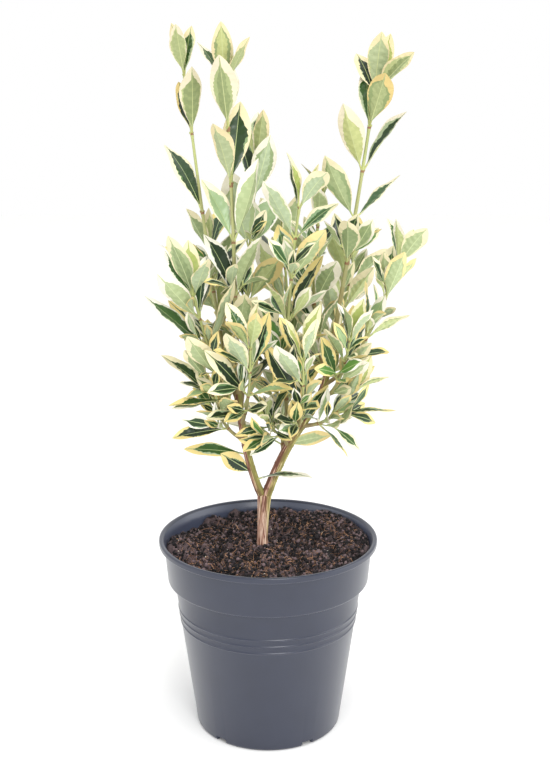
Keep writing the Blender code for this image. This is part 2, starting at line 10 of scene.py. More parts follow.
import bmesh
import bpy
import numpy as np
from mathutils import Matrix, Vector
from mathutils.bvhtree import BVHTree


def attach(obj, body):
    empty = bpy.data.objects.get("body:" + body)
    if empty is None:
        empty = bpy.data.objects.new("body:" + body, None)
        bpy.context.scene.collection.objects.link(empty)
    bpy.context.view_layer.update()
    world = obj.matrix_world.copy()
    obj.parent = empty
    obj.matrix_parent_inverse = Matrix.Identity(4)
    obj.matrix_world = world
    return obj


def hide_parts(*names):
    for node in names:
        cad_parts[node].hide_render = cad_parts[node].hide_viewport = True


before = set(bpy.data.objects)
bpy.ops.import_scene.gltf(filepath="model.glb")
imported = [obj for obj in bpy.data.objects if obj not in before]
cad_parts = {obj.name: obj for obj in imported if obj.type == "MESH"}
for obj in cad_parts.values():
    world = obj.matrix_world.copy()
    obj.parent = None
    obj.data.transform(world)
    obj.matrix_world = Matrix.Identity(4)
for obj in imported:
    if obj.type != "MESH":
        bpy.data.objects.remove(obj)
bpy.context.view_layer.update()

# Studio. The photograph's view: the camera stands a metre off, a little above the crown, and looks
# down on the pot's rim. White floor, white surroundings and four soft boxes.
MM = 0.001
PHOTO_HEIGHT = 772
FOCAL_PIXELS = 1220
SENSOR = 36.0
CAMERA_PLACE = (0.0, -1.0, 0.565)
CAMERA_DIP = 0.252
CAMERA_TURN = -0.006
FLOOR_HALF = 4000.0
FLOOR_WHITE = "FDFDFC"
FLOOR_ROUGHNESS = 0.9
SURROUND_STRENGTH = 1.0
AIM = Vector((0.0, 0.0, 0.33))
SOFT_BOXES = {
    "box_left": ((-1.5, -0.5, 0.8), 1.3, 4.0),
    "box_right": ((1.6, -0.1, 0.7), 1.3, 9.0),
    "box_front": ((0.4, -1.7, 1.1), 0.6, 13.5),
    "box_above": ((0.1, -0.7, 2.0), 0.5, 9.0),
}


def linear(code):
    """Linear colour with alpha from an sRGB hex code: each part over 255, through the sRGB curve."""
    parts = np.array([int(code[i : i + 2], 16) for i in (0, 2, 4)]) / 255
    bright = np.where(parts <= 0.04045, parts / 12.92, ((parts + 0.055) / 1.055) ** 2.4)
    return (*bright.tolist(), 1.0)


def finish(name, colour, roughness, **sockets):
    """A new material whose shader has that colour and roughness, and any other socket by its name."""
    material = bpy.data.materials.new(name)
    material.use_nodes = True
    shader = material.node_tree.nodes["Principled BSDF"]
    shader.inputs["Base Color"].default_value = linear(colour)
    shader.inputs["Roughness"].default_value = roughness
    for socket, value in sockets.items():
        shader.inputs[socket.replace("_", " ")].default_value = value
    return material


def finishes(name, colours, roughness):
    """One material for each colour, numbered."""
    return [finish(f"{name}_{number}", colour, roughness) for number, colour in enumerate(colours)]


def surface(name, points, faces, materials, picks=None, sharp=180.0):
    """A smooth mesh from points in millimetres and faces by point number, turned outwards.

    picks gives each face's material, and edges that turn by more than the sharp angle stay crisp.
    """
    mesh = bpy.data.meshes.new(name)
    mesh.from_pydata((np.asarray(points) * MM).tolist(), [], [list(face) for face in faces])
    for material in materials:
        mesh.materials.append(material)
    if picks is not None:
        mesh.polygons.foreach_set("material_index", np.asarray(picks, np.int32))
    work = bmesh.new()
    work.from_mesh(mesh)
    bmesh.ops.recalc_face_normals(work, faces=work.faces)
    work.to_mesh(mesh)
    work.free()
    mesh.shade_smooth()
    mesh.set_sharp_from_angle(angle=math.radians(sharp))
    piece = bpy.data.objects.new(name, mesh)
    bpy.context.scene.collection.objects.link(piece)
    return piece


def soft_box(name, place, side, power):
    """A square area light of that side in metres and power in watts, aimed at the plant's middle."""
    light = bpy.data.lights.new(name, "AREA")
    light.shape = "SQUARE"
    light.size = side
    light.energy = power
    box = bpy.data.objects.new(name, light)
    box.location = place
    box.rotation_euler = (AIM - Vector(place)).to_track_quat("-Z", "Y").to_euler()
    bpy.context.scene.collection.objects.link(box)


camera_data = bpy.data.cameras.new("camera")
camera_data.sensor_width = SENSOR
camera_data.lens = SENSOR * FOCAL_PIXELS / PHOTO_HEIGHT
camera = bpy.data.objects.new("camera", camera_data)
camera.location = CAMERA_PLACE
camera.rotation_euler = (math.pi / 2 - CAMERA_DIP, 0, CAMERA_TURN)
bpy.context.scene.collection.objects.link(camera)
bpy.context.scene.camera = camera
bpy.context.scene.view_settings.view_transform = "Standard"

world = bpy.data.worlds.new("white_surround")
world.use_nodes = True
world.node_tree.nodes["Background"].inputs["Color"].default_value = (1, 1, 1, 1)
world.node_tree.nodes["Background"].inputs["Strength"].default_value = SURROUND_STRENGTH
bpy.context.scene.world = world
for box_name, (box_place, box_side, box_power) in SOFT_BOXES.items():
    soft_box(box_name, box_place, box_side, box_power)

floor_corners = [(x * FLOOR_HALF, y * FLOOR_HALF, 0) for x, y in ((-1, -1), (1, -1), (1, 1), (-1, 1))]
# Matt white card, on which the pot leaves only a faint shadow.
white_card = finish("white_floor", FLOOR_WHITE, FLOOR_ROUGHNESS)
floor = surface("floor", floor_corners, [(0, 1, 2, 3)], [white_card])

# Pot. A 19 cm grow pot of slate-grey polypropylene, injection moulded: thin wall, stepped collar,
# rolled rim, three fine rings, and five drain slots through the lower corner.
POT_HEIGHT = 173.0
RIM_RADIUS = 95.0
RIM_DEPTH = 6.5
COLLAR_TOP_RADIUS = 90.4
COLLAR_FOOT_RADIUS = 87.6
COLLAR_FOOT_HEIGHT = 135.0
WALL_FOOT_RADIUS = 63.7
WALL_SLOPE = 0.136
WALL_THICK = 1.8
FLOOR_THICK = 2.4
RING_HEIGHTS = (110.7, 104.4, 97.9)
RING_PROUD = 0.7
RING_HALF_WIDTH = 1.3
RING_POINTS = 9
ARC_POINTS = 7
POT_SEGMENTS = 192
DRAIN_SLOTS = 5
FIRST_SLOT = math.radians(32)
SLOT_WIDTH = 11.0
SLOT_TOP = 4.5
SLOT_RADII = (54.0, 75.0)
SHARP_ANGLE = 40.0
POT_SLATE = "151C31"
POT_DUST = "22293E"
# Painted light: a lighter grey mixed into the inner wall, for light bounced inside the pot.
POT_INSIDE_LIGHT = "474E62"
INSIDE_LIGHT_PART = 0.75
POT_ROUGHNESS = 0.32
POT_IOR = 1.49
POT_COAT = {"Coat_Weight": 0.5, "Coat_Roughness": 0.4}
DUST_PATCH = 26.0
MOULD_GRAIN = 1.3
MOULD_GRAIN_DEPTH = 0.05
MOULD_GRAIN_STRENGTH = 0.25


def wall_radius(height):
    return WALL_FOOT_RADIUS + WALL_SLOPE * height


def collar_radius(height):
    part = (height - COLLAR_FOOT_HEIGHT) / (POT_HEIGHT - RIM_DEPTH - COLLAR_FOOT_HEIGHT)
    return COLLAR_FOOT_RADIUS + part * (COLLAR_TOP_RADIUS - COLLAR_FOOT_RADIUS)


def inner_radius(height):
    """Radius of the pot's inner face, which steps out where the collar does."""
    outer = collar_radius if height > COLLAR_FOOT_HEIGHT + WALL_THICK else wall_radius
    return outer(height) - WALL_THICK


def rounded(corner, before, after, rounding):
    """Points of a round corner: a quadratic curve from the rounding's length before it to after it."""
    corner, before, after = (np.array(point, float) for point in (corner, before, after))
    start = corner + (before - corner) * rounding / np.linalg.norm(before - corner)
    end = corner + (after - corner) * rounding / np.linalg.norm(after - corner)
    t = np.linspace(0, 1, ARC_POINTS)[:, None]
    return start * (1 - t) ** 2 + 2 * corner * t * (1 - t) + end * t**2


def ring_bump(height):
    """Points down one fine ring: the wall's radius plus a raised cosine that is proud at its middle."""
    across = np.linspace(1, -1, RING_POINTS)
    heights = height + across * RING_HALF_WIDTH
    return np.stack([wall_radius(heights) + RING_PROUD * (1 + np.cos(across * math.pi)) / 2, heights], 1)


def pot_profile():
    """Half section from the inner floor's centre up the inside, over the rim and down the outside.

    Each corner is a place (radius, height) with the length of its rounding.
    """
    rim_foot = POT_HEIGHT - RIM_DEPTH
    ledge = COLLAR_FOOT_HEIGHT + WALL_THICK
    lip = RIM_RADIUS - 2 * WALL_THICK
    inside = [
        ((inner_radius(FLOOR_THICK), FLOOR_THICK), 6.0),
        ((inner_radius(ledge), ledge), 1.5),
        ((collar_radius(ledge) - WALL_THICK, ledge + WALL_THICK), 1.5),
        ((inner_radius(rim_foot), rim_foot), 2.5),
        ((lip, POT_HEIGHT), 2.0),
        ((RIM_RADIUS, POT_HEIGHT), 1.6),
        ((RIM_RADIUS, rim_foot + WALL_THICK), 0.8),
        ((COLLAR_TOP_RADIUS, rim_foot), 0.8),
        ((COLLAR_FOOT_RADIUS, COLLAR_FOOT_HEIGHT), 2.2),
        ((wall_radius(COLLAR_FOOT_HEIGHT), COLLAR_FOOT_HEIGHT), 0.6),
    ]
    foot = ((wall_radius(0), 0), 3.0)
    ends = [(0, FLOOR_THICK)] + [place for place, _ in inside] + [foot[0], (0, 0)]
    parts = [np.array([ends[0]])]
    for number, (place, rounding) in enumerate(inside + [foot]):
        if place == foot[0]:
            parts += [ring_bump(height) for height in RING_HEIGHTS]
        parts.append(rounded(place, ends[number], ends[number + 2], rounding))
    return np.vstack(parts + [np.array([ends[-1]])])


def grid_faces(rows, columns):
    """Quads between neighbours of a grid of points, numbered row by row, whose rows are closed rings."""
    row, column = np.meshgrid(np.arange(rows - 1), np.arange(columns), indexing="ij")
    right = (column + 1) % columns
    low, high = row * columns, (row + 1) * columns
    return np.stack([low + column, low + right, high + right, high + column], -1).reshape(-1, 4)


def ringed_faces(rings, sides):
    """Faces between closed rings of points, and a fan at each end to a pole, the poles numbered last."""
    around = np.arange(sides)
    after, last, pole = (around + 1) % sides, (rings - 1) * sides, rings * sides + 0 * around
    fans = [(around, after, pole), (last + around, last + after, pole + 1)]
    return grid_faces(rings, sides).tolist() + np.concatenate([np.stack(fan, -1) for fan in fans]).tolist()


def turned_solid(profile, segments):
    """Points and faces of a profile turned round +Z, its first and last points the two poles."""
    angle = np.arange(segments) * 2 * math.pi / segments
    radius, height = profile[1:-1, 0, None], profile[1:-1, 1, None]
    rings = np.stack([radius * np.cos(angle), radius * np.sin(angle), height + 0 * angle], -1)
    poles = [(0, 0, profile[0, 1]), (0, 0, profile[-1, 1])]
    return np.vstack([rings.reshape(-1, 3), poles]), ringed_faces(len(profile) - 2, segments)


def slot_blocks():
    """Points and faces of the drain slots' blocks, evenly round the foot from the front to the right."""
    near, far = SLOT_RADII
    half = SLOT_WIDTH / 2
    opening = ((-half, -1), (half, -1), (half, SLOT_TOP), (-half, SLOT_TOP))
    corners = [(radius, side, height) for radius in (near, far) for side, height in opening]
    radius, side, height = np.array(corners).T
    turn = FIRST_SLOT + np.arange(DRAIN_SLOTS)[:, None] * 2 * math.pi / DRAIN_SLOTS
    x = np.sin(turn) * radius + np.cos(turn) * side
    y = -np.cos(turn) * radius + np.sin(turn) * side
    block = np.array([(0, 1, 2, 3), (4, 5, 6, 7), (0, 1, 5, 4), (1, 2, 6, 5), (2, 3, 7, 6), (3, 0, 4, 7)])
    faces = (np.arange(DRAIN_SLOTS)[:, None, None] * len(corners) + block).reshape(-1, 4)
    return np.stack([x, y, height + 0 * x], -1).reshape(-1, 3), faces


def cut_away(piece, cutter):
    """Cuts the cutter from the piece, applies the cut and removes the cutter."""
    boolean = piece.modifiers.new("cut", "BOOLEAN")
    boolean.solver = "EXACT"
    boolean.object = cutter
    graph = bpy.context.evaluated_depsgraph_get()
    solid = bpy.data.meshes.new_from_object(piece.evaluated_get(graph))
    piece.modifiers.clear()
    piece.data = solid
    bpy.data.objects.remove(cutter, do_unlink=True)
    solid.shade_smooth()
    solid.set_sharp_from_angle(angle=math.radians(SHARP_ANGLE))


def add_node(material, kind, values=(), links=(), **settings):
    """Adds one shader node with its settings, its input values and its links from other nodes' outputs."""
    node = material.node_tree.nodes.new("ShaderNode" + kind)
    for setting, value in settings.items():
        setattr(node, setting, value)
    for socket, value in dict(values).items():
        node.inputs[socket].default_value = value
    for socket, source in dict(links).items():
        material.node_tree.links.new(source, node.inputs[socket])
    return node


def shade(material, **sources):
    """Links outputs to the material's shader sockets, named with _ for a space."""
    shader = material.node_tree.nodes["Principled BSDF"]
    for socket, source in sources.items():
        material.node_tree.links.new(source, shader.inputs[socket.replace("_", " ")])


# Moulded polypropylene with a satin skin: soft, wide highlights and a faint haze of dust and water
# marks. The wall inside, where the normal turns to the axis, is painted a lighter grey: painted light
# for the light bounced inside the pot. The mould's spark grain is finer than a picture point, so it is
# drawn as coarse as 1.3 mm.
slate = finish("slate_polypropylene", POT_SLATE, POT_ROUGHNESS, IOR=POT_IOR, **POT_COAT)
place = add_node(slate, "TexCoord").outputs["Object"]
haze = add_node(slate, "TexNoise", {"Scale": 1 / (DUST_PATCH * MM), "Detail": 4}, {"Vector": place})
dusty = add_node(
    slate, "Mix", {6: linear(POT_SLATE), 7: linear(POT_DUST)}, {0: haze.outputs[0]}, data_type="RGBA"
)
grain = add_node(slate, "TexNoise", {"Scale": 1 / (MOULD_GRAIN * MM), "Detail": 2}, {"Vector": place})
skin_depth = {"Strength": MOULD_GRAIN_STRENGTH, "Distance": MOULD_GRAIN_DEPTH * MM}
skin = add_node(slate, "Bump", skin_depth, {"Height": grain.outputs[0]})
# Painted light: where the normal faces the axis, the colour turns part way to a lighter grey, for bounced
# light.
facing = add_node(slate, "NewGeometry").outputs["Normal"]
outward = add_node(slate, "VectorMath", links={0: facing, 1: place}, operation="DOT_PRODUCT")
inside = add_node(slate, "Math", {1: 0.0}, {0: outward.outputs["Value"]}, operation="LESS_THAN")
inside_lightened = add_node(slate, "Math", {1: INSIDE_LIGHT_PART}, {0: inside.outputs[0]}, operation="MULTIPLY")
inside_painted_light = add_node(
    slate, "Mix", {7: linear(POT_INSIDE_LIGHT)}, {0: inside_lightened.outputs[0], 6: dusty.outputs[2]}, data_type="RGBA"
)
shade(slate, Base_Color=inside_painted_light.outputs[2], Normal=skin.outputs[0])

pot = surface("grow_pot", *turned_solid(pot_profile(), POT_SEGMENTS), [slate], sharp=SHARP_ANGLE)
cut_away(pot, surface("slot_cutter", *slot_blocks(), []))
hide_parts("pot")
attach(pot, "root")

# Potting compost, filled to about 9 mm under the rim: clods of nearly black peat with crumbs, curly
# brown fibres and a few white grains of perlite, heaped at the left and at the back on the right.
UP = np.array((0.0, 0.0, 1.0))
SOIL_LEVEL = 163.7
SOIL_RISE = (0.05, -0.014)
SOIL_MOUND = 2.0
SOIL_WAVES = (11.0, 13.0, 7.0)
SOIL_WAVE_SHIFT = 1.3
SOIL_FLAT_RADIUS = 18.0
SOIL_FOOT = 3.2
SOIL_CORNER = 6.0
SOIL_SIDE_GAP = 1.0
SOIL_GAP = 0.1
SOIL_SECTORS = 260
SOIL_RINGS = 90
SOIL_SEED = 11
SOIL_HEAPS = (
    (-74, -8, 22, 6.5),
    (52, 52, 26, 6.5),
    (-52, 46, 18, -5.0),
    (16, 32, 12, -3.0),
    (30, -52, 20, -2.0),
    (-20, -45, 18, 1.5),
    (-5, -13, 11, 4.5),
)
HIGHEST = 8.6
CLOD_SIZES = ((17.0, 2.8), (8.0, 2.2), (3.6, 1.5), (1.7, 0.8))
CLOD_STRETCH = 2.4
CLOD_DROP = 0.8
TRUNK_FORWARD = 8.0
CALM_RADIUS = 14.0
CALM_EDGE = 0.5
CALM_PART = 0.3
DRYNESS = 0.32
# Partly painted shade: this weight darkens the clods' creases as well as drying their crests.
CREST_DRYNESS_AND_SHADE = 1.3
DRY_PATCH = 21.0
DRY_CONTRAST = 0.6
NOISE_CELLS = 64
PEAT_BROWN = "1E1819"
PEAT_COLOURS = ("080607", "57484A")
PEAT_STOPS = (0.55, 1.0)
PEAT_GRAIN = 1.4
PEAT_ROUGHNESS = 0.95
CRUMB_COLOURS = ("080607", "0E0B0D", "231D20", "6E5C5E")
FIBRE_COLOURS = ("3E2B26", "6A4A3A", "9C745C", "C89872", "33241F")
FIBRE_ROUGHNESS = 0.85
PERLITE_WHITE = "D9D3C6"
PERLITE_ROUGHNESS = 0.9
CRUMBS = 5200
CRUMB_SIZES = (0.4, 1.9)
CRUMB_SKEW = 1.2
CRUMB_SHAPES = (0.6, 1.1)
CRUMB_LIFT = 0.15
CRUMB_NEAR = 5.0
CRUMB_WALL_GAP = 2.5
CRUMB_SHARP = 60.0
FIBRES = 2000
FIBRE_STEPS = 7
FIBRE_SIDES = 3
FIBRE_LENGTHS = (3.0, 15.0)
FIBRE_THICKS = (0.12, 0.36)
FIBRE_CURL = 1.6
FIBRE_ARCH = 0.9
FIBRE_THINNING = 0.7
FIBRE_LIFT = 0.1
FIBRE_NEAR = 7.0
FIBRE_WALL_GAP = 9.0
GRAINS = 90
GRAIN_SIZES = (0.3, 0.7)
GRAIN_SHAPES = (0.7, 1.1)
GRAIN_LIFT = 0.5
GRAIN_NEAR = 10.0


def lumps(across, along, seed, cells=NOISE_CELLS):
    """Smooth noise from -1 to 1: random heights at whole numbers, blended by the smooth step between.

    It repeats after cells steps across, so it closes round a limb.
    """
    table = np.random.default_rng(seed).uniform(-1, 1, (cells, NOISE_CELLS))
    low_a, low_b = np.floor(across).astype(int), np.floor(along).astype(int)
    a, b = across - low_a, along - low_b
    a, b = a * a * (3 - 2 * a), b * b * (3 - 2 * b)
    i, j = low_a % cells, low_b % NOISE_CELLS
    k, m = (i + 1) % cells, (j + 1) % NOISE_CELLS
    return (table[i, j] * (1 - a) + table[k, j] * a) * (1 - b) + (table[i, m] * (1 - a) + table[k, m] * a) * b


def soil_height(x, y):
    """A plane that rises to the right and falls to the back, with low mounds away from the trunk."""
    away = np.clip((np.hypot(x, y) - SOIL_FLAT_RADIUS) / SOIL_FLAT_RADIUS, 0, 1)
    across, deep, slanting = SOIL_WAVES
    mounds = np.sin(x / across + SOIL_WAVE_SHIFT) * np.cos(y / deep) + np.sin((x + y) / slanting) / 2
    return SOIL_LEVEL + away * (SOIL_RISE[0] * x + SOIL_RISE[1] * y + SOIL_MOUND * mounds)


def clods(x, y):
    """Clods of several sizes: rounded tops with creases between, from the size of smooth noise.

    The grid of each size is turned by its own angle. The rows count from about -1 to 1.
    """
    rows = []
    for number, (size, _) in enumerate(CLOD_SIZES):
        c, s = math.cos(number), math.sin(number)
        noise = lumps((c * x + s * y) / size, (c * y - s * x) / size, number)
        rows.append(CLOD_STRETCH * np.abs(noise) - CLOD_DROP)
    return rows


def rough_height(x, y):
    """The soil's height with heaps and clods on it, which are lower round the trunk.

    The rise is eased by its hyperbolic tangent, so that it stays under the rim.
    """
    away = np.clip(np.hypot(x, y + TRUNK_FORWARD) / CALM_RADIUS - CALM_EDGE, 0, 1)
    calm = CALM_PART + (1 - CALM_PART) * away
    rough = sum(row * height for row, (_, height) in zip(clods(x, y), CLOD_SIZES))
    rise = soil_height(x, y) - SOIL_LEVEL + calm * rough
    for across, deep, reach, height in SOIL_HEAPS:
        rise = rise + height * np.exp(-((x - across) ** 2 + (y - deep) ** 2) / reach**2)
    return SOIL_LEVEL + HIGHEST * np.tanh(rise / HIGHEST)


def soil_plug():
    """Points and faces of the fill: a turned plug whose upper rings follow the rough ground."""
    ledge = COLLAR_FOOT_HEIGHT + WALL_THICK
    rim = inner_radius(SOIL_LEVEL) - SOIL_GAP
    corner = SOIL_FOOT + SOIL_CORNER
    side = [
        (0, SOIL_FOOT),
        (inner_radius(SOIL_FOOT) - SOIL_CORNER, SOIL_FOOT),
        (inner_radius(corner) - SOIL_SIDE_GAP, corner),
        (inner_radius(ledge) - SOIL_SIDE_GAP, ledge + 2 * WALL_THICK),
        (inner_radius(SOIL_LEVEL) - SOIL_SIDE_GAP, ledge + 4 * WALL_THICK),
    ]
    top = np.stack([np.linspace(rim, 0, SOIL_RINGS), np.full(SOIL_RINGS, SOIL_LEVEL)], -1)
    points, faces = turned_solid(np.vstack([side, top]), SOIL_SECTORS)
    ground = points[:, 2] == SOIL_LEVEL
    points[ground, 2] = rough_height(points[ground, 0], points[ground, 1])
    return points, faces


def unit(v):
    return v / np.linalg.norm(v, axis=-1, keepdims=True)


def spins(rng, count):
    """Random rotation matrices, from random unit quaternions."""
    w, x, y, z = unit(rng.normal(size=(count, 4))).T
    rows = [1 - 2 * (y * y + z * z), 2 * (x * y - w * z), 2 * (x * z + w * y)]
    rows += [2 * (x * y + w * z), 1 - 2 * (x * x + z * z), 2 * (y * z - w * x)]
    rows += [2 * (x * z - w * y), 2 * (y * z + w * x), 1 - 2 * (x * x + y * y)]
    return np.stack(rows, -1).reshape(-1, 3, 3)


def strewn(name, shape, places, sizes, turns, materials, rng):
    """Copies of a small shape as one mesh: each scaled along its own axes, turned and put in place."""
    points, faces = shape
    copies = np.einsum("nij,nkj->nki", turns, points * sizes[:, None, :]) + places[:, None, :]
    numbers = np.arange(len(places))[:, None, None] * len(points) + faces
    picks = np.repeat(rng.integers(0, len(materials), len(places)), len(faces))
    faces = numbers.reshape(-1, faces.shape[1])
    return surface(name, copies.reshape(-1, 3), faces, materials, picks, CRUMB_SHARP)


def ball():
    """Twelve points and twenty faces of an icosahedron of unit radius."""
    work = bmesh.new()
    bmesh.ops.create_icosphere(work, subdivisions=1, radius=1.0)
    points = np.array([vertex.co for vertex in work.verts])
    faces = np.array([[vertex.index for vertex in face.verts] for face in work.faces])
    work.free()
    return points, faces


def on_soil(rng, count, near, far, lift):
    """Random places between two radii, on the rough ground, raised by the lift of each."""
    radius = np.sqrt(rng.uniform(near**2, far**2, count))
    angle = rng.uniform(0, 2 * math.pi, count)
    x, y = radius * np.cos(angle), radius * np.sin(angle)
    return np.stack([x, y, rough_height(x, y) + lift], -1)


def fibre_points(rng):
    """Points and faces of all the fibres: thin three-sided rods that curl across the rough ground."""
    steps = np.linspace(-1, 1, FIBRE_STEPS)[None, :]
    half = rng.uniform(*FIBRE_LENGTHS, (FIBRES, 1)) / 2
    bend = rng.normal(0, FIBRE_CURL, (FIBRES, 1))
    heading = rng.uniform(0, 2 * math.pi, (FIBRES, 1)) + bend * steps
    middle = on_soil(rng, FIBRES, FIBRE_NEAR, inner_radius(SOIL_LEVEL) - FIBRE_WALL_GAP, 0)
    stride = 2 * half / (FIBRE_STEPS - 1)
    x = middle[:, :1] + np.cumsum(stride * np.cos(heading), 1) - half * np.cos(heading)
    y = middle[:, 1:2] + np.cumsum(stride * np.sin(heading), 1) - half * np.sin(heading)
    arch = FIBRE_ARCH * rng.uniform(0, 1, (FIBRES, 1)) * (1 - steps**2)
    thick = rng.uniform(*FIBRE_THICKS, (FIBRES, 1)) * (1 - FIBRE_THINNING * np.abs(steps))
    centre = np.stack([x, y, rough_height(x, y) + arch + FIBRE_LIFT], -1)[:, :, None, :]
    turn = np.arange(FIBRE_SIDES) * 2 * math.pi / FIBRE_SIDES
    aside = np.stack([-np.sin(heading), np.cos(heading), 0 * heading], -1)[:, :, None, :]
    rings = centre + thick[:, :, None, None] * (np.cos(turn)[:, None] * aside + np.sin(turn)[:, None] * UP)
    count = FIBRE_STEPS * FIBRE_SIDES
    faces = grid_faces(FIBRE_STEPS, FIBRE_SIDES)
    faces = (np.arange(FIBRES)[:, None, None] * count + faces).reshape(-1, 4)
    return rings.reshape(-1, 3), faces, len(faces) // FIBRES


# Peat compost is matt and nearly black when moist, and brown where its crumbs and patches have dried.
# Its clods are browner on their crests and darker in their creases, partly as drier peat and partly as
# painted shade in the creases.
# Its fibres are dry and tan, and perlite is a chalky white glass foam.
compost = finish("moist_compost", PEAT_BROWN, PEAT_ROUGHNESS)
place = add_node(compost, "TexCoord").outputs["Object"]
crumbly = add_node(compost, "TexNoise", {"Scale": 1 / (PEAT_GRAIN * MM), "Detail": 6}, {"Vector": place})
dryness_and_shade = add_node(compost, "Attribute", attribute_name="dryness_and_shade")
height = add_node(compost, "Math", {1: 0.5}, {0: dryness_and_shade.outputs["Fac"]}, operation="MULTIPLY")
tone = add_node(compost, "Math", links={0: height.outputs[0], 1: crumbly.outputs[0]})
browns = add_node(compost, "ValToRGB", links={0: tone.outputs[0]})
for stop, position, colour in zip(browns.color_ramp.elements, PEAT_STOPS, PEAT_COLOURS):
    stop.position = position
    stop.color = linear(colour)
tilth_depth = {"Strength": 1.0, "Distance": PEAT_GRAIN * MM}
tilth = add_node(compost, "Bump", tilth_depth, {"Height": crumbly.outputs[0]})
shade(compost, Base_Color=browns.outputs[0], Normal=tilth.outputs[0])
peats = finishes("peat_crumb", CRUMB_COLOURS, PEAT_ROUGHNESS)
tans = finishes("peat_fibre", FIBRE_COLOURS, FIBRE_ROUGHNESS)
chalky = finish("perlite", PERLITE_WHITE, PERLITE_ROUGHNESS)

soil_rng = np.random.default_rng(SOIL_SEED)
fill = surface("compost", *soil_plug(), [compost])
corners = np.empty(len(fill.data.vertices) * 3)
fill.data.vertices.foreach_get("co", corners)
across, deep, _ = corners.reshape(-1, 3).T / MM
# Crests drawn drier and creases darker: partly drier peat, partly painted shade in the creases.
crest = sum(clods(across, deep)) / len(CLOD_SIZES)
patches = DRY_CONTRAST * lumps(across / DRY_PATCH, deep / DRY_PATCH, len(CLOD_SIZES))
dry = np.clip(DRYNESS + CREST_DRYNESS_AND_SHADE * crest + patches, 0, 1)
fill.data.attributes.new("dryness_and_shade", "FLOAT", "POINT").data.foreach_set("value", dry)

crumb_size = soil_rng.uniform(*CRUMB_SIZES, CRUMBS) ** CRUMB_SKEW
crumb_far = inner_radius(SOIL_LEVEL) - CRUMB_WALL_GAP
crumbs = strewn(
    "compost_crumbs",
    ball(),
    on_soil(soil_rng, CRUMBS, CRUMB_NEAR, crumb_far, crumb_size * CRUMB_LIFT),
    crumb_size[:, None] * soil_rng.uniform(*CRUMB_SHAPES, (CRUMBS, 3)),
    spins(soil_rng, CRUMBS),
    peats,
    soil_rng,
)
fibre_corners, fibre_faces, faces_each = fibre_points(soil_rng)
fibre_picks = np.repeat(soil_rng.integers(0, len(tans), FIBRES), faces_each)
fibres = surface("peat_fibres", fibre_corners, fibre_faces, tans, fibre_picks)
grain_size = soil_rng.uniform(*GRAIN_SIZES, GRAINS)
grains = strewn(
    "perlite_grains",
    ball(),
    on_soil(soil_rng, GRAINS, GRAIN_NEAR, crumb_far, grain_size * GRAIN_LIFT),
    grain_size[:, None] * soil_rng.uniform(*GRAIN_SHAPES, (GRAINS, 3)),
    spins(soil_rng, GRAINS),
    [chalky],
    soil_rng,
)
for piece in (fill, crumbs, fibres, grains):
    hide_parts("soil")
    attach(piece, "root")

# Trunk and boughs: a short woody trunk that forks low, each bough one tapering limb. The old bark is
# pinkish brown, split lengthwise and flaking, and gives way to green young bark up the boughs. brown
# is how brown a limb is at its foot and at its tip, and pale is added to the tone of all its bark.
HEADING_STEP = 0.01
LENGTH_STEPS = 20
TRUNK_SUNK = 3.0
TRUNK_FLARE = 0.9
FORK_SWELL = 1.0
FLARE_POWER = 4
Limb = collections.namedtuple("Limb", "line radii brown pale")
LIMBS = {
    "trunk": Limb(
        ((-5.5, -8, SOIL_LEVEL - TRUNK_SUNK), (-4.6, -5, 188), (-3.2, 0, 209)), (4.1, 5.2), (1.0, 0.75), -0.05
    ),
    "bough_right": Limb(
        ((-3, 0, 205), (7, 0, 236), (18, 0, 258), (31, 0, 276)), (4.4, 3.6), (0.62, 0.4), -0.25
    ),
    "bough_left": Limb(
        ((-3.6, 0, 205), (-18, -3, 238), (-22, -5, 270), (-25, -4, 302)), (3.7, 2.9), (0.5, 0.25), -0.3
    ),
    "bough_right_upper": Limb(
        ((31, 0, 276), (43, 1, 292), (50, 0, 312), (53, 0, 334)), (3.3, 2.7), (0.4, 0.2), -0.2
    ),
}
BARK_SIDES = 72
BARK_SEED = 20
SEEDS_EACH = 3
BARK_RING_STEP = 0.7
FISSURE_SIZES = (1.1, 24.0)
FISSURE_DEPTH = 0.35
FLAKE_SIZES = (0.6, 8.0)
FLAKE_DEPTH = 0.2
LENTICEL_DEPTH = 0.1
SUNNY_SIDE = 0.9
BROWN_WANDER = 0.35
BROWN_EDGE = 1.8
SCAR_STEP = 21.0
SCAR_WIDTH = 1.1
SCAR_HEIGHT = 0.25
SCAR_DARK = 0.6
SCAR_UNEVEN = 0.4
END_DOME = 0.6
BARK_SPECK = 0.8
BARK_STRETCH = (1.0, 1.0, 0.1)
BARK_BROWN = ("6E4638", "B08672", "DCC2AC")
BARK_GREEN = ("8A8448", "BAB46A", "D4CD96")
BARK_STOPS = (0.05, 0.45, 0.85)
BARK_ROUGHNESS = 0.8
CRACKLE_DEPTH = 0.4
CRACKLE_STRENGTH = 0.5


def curve_point(control, t):
    """Bezier curve of any degree, by repeated blending of its control points."""
    t = np.asarray(t, float)[..., None]
    rows = [np.asarray(point, float) for point in control]
    while len(rows) > 1:
        rows = [a * (1 - t) + b * t for a, b in zip(rows, rows[1:])]
    return rows[0]


def curve_heading(control, t):
    """The curve's direction, from a short step to each side."""
    before, after = np.maximum(np.subtract(t, HEADING_STEP), 0), np.minimum(np.add(t, HEADING_STEP), 1)
    return unit(curve_point(control, after) - curve_point(control, before))


def curve_length(control):
    """The curve's length, as the sum of short straight steps."""
    steps = np.diff(curve_point(control, np.linspace(0, 1, LENGTH_STEPS)), axis=0)
    return np.linalg.norm(steps, axis=1).sum()


def limb_radius(name, t):
    """Radius along a limb: an even taper, with a root flare and a swollen fork on the trunk."""
    foot, tip = LIMBS[name].radii
    flare, swell = (TRUNK_FLARE, FORK_SWELL) if name == "trunk" else (0, 0)
    return foot + (tip - foot) * t + flare * (1 - t) ** FLARE_POWER + swell * t**FLARE_POWER


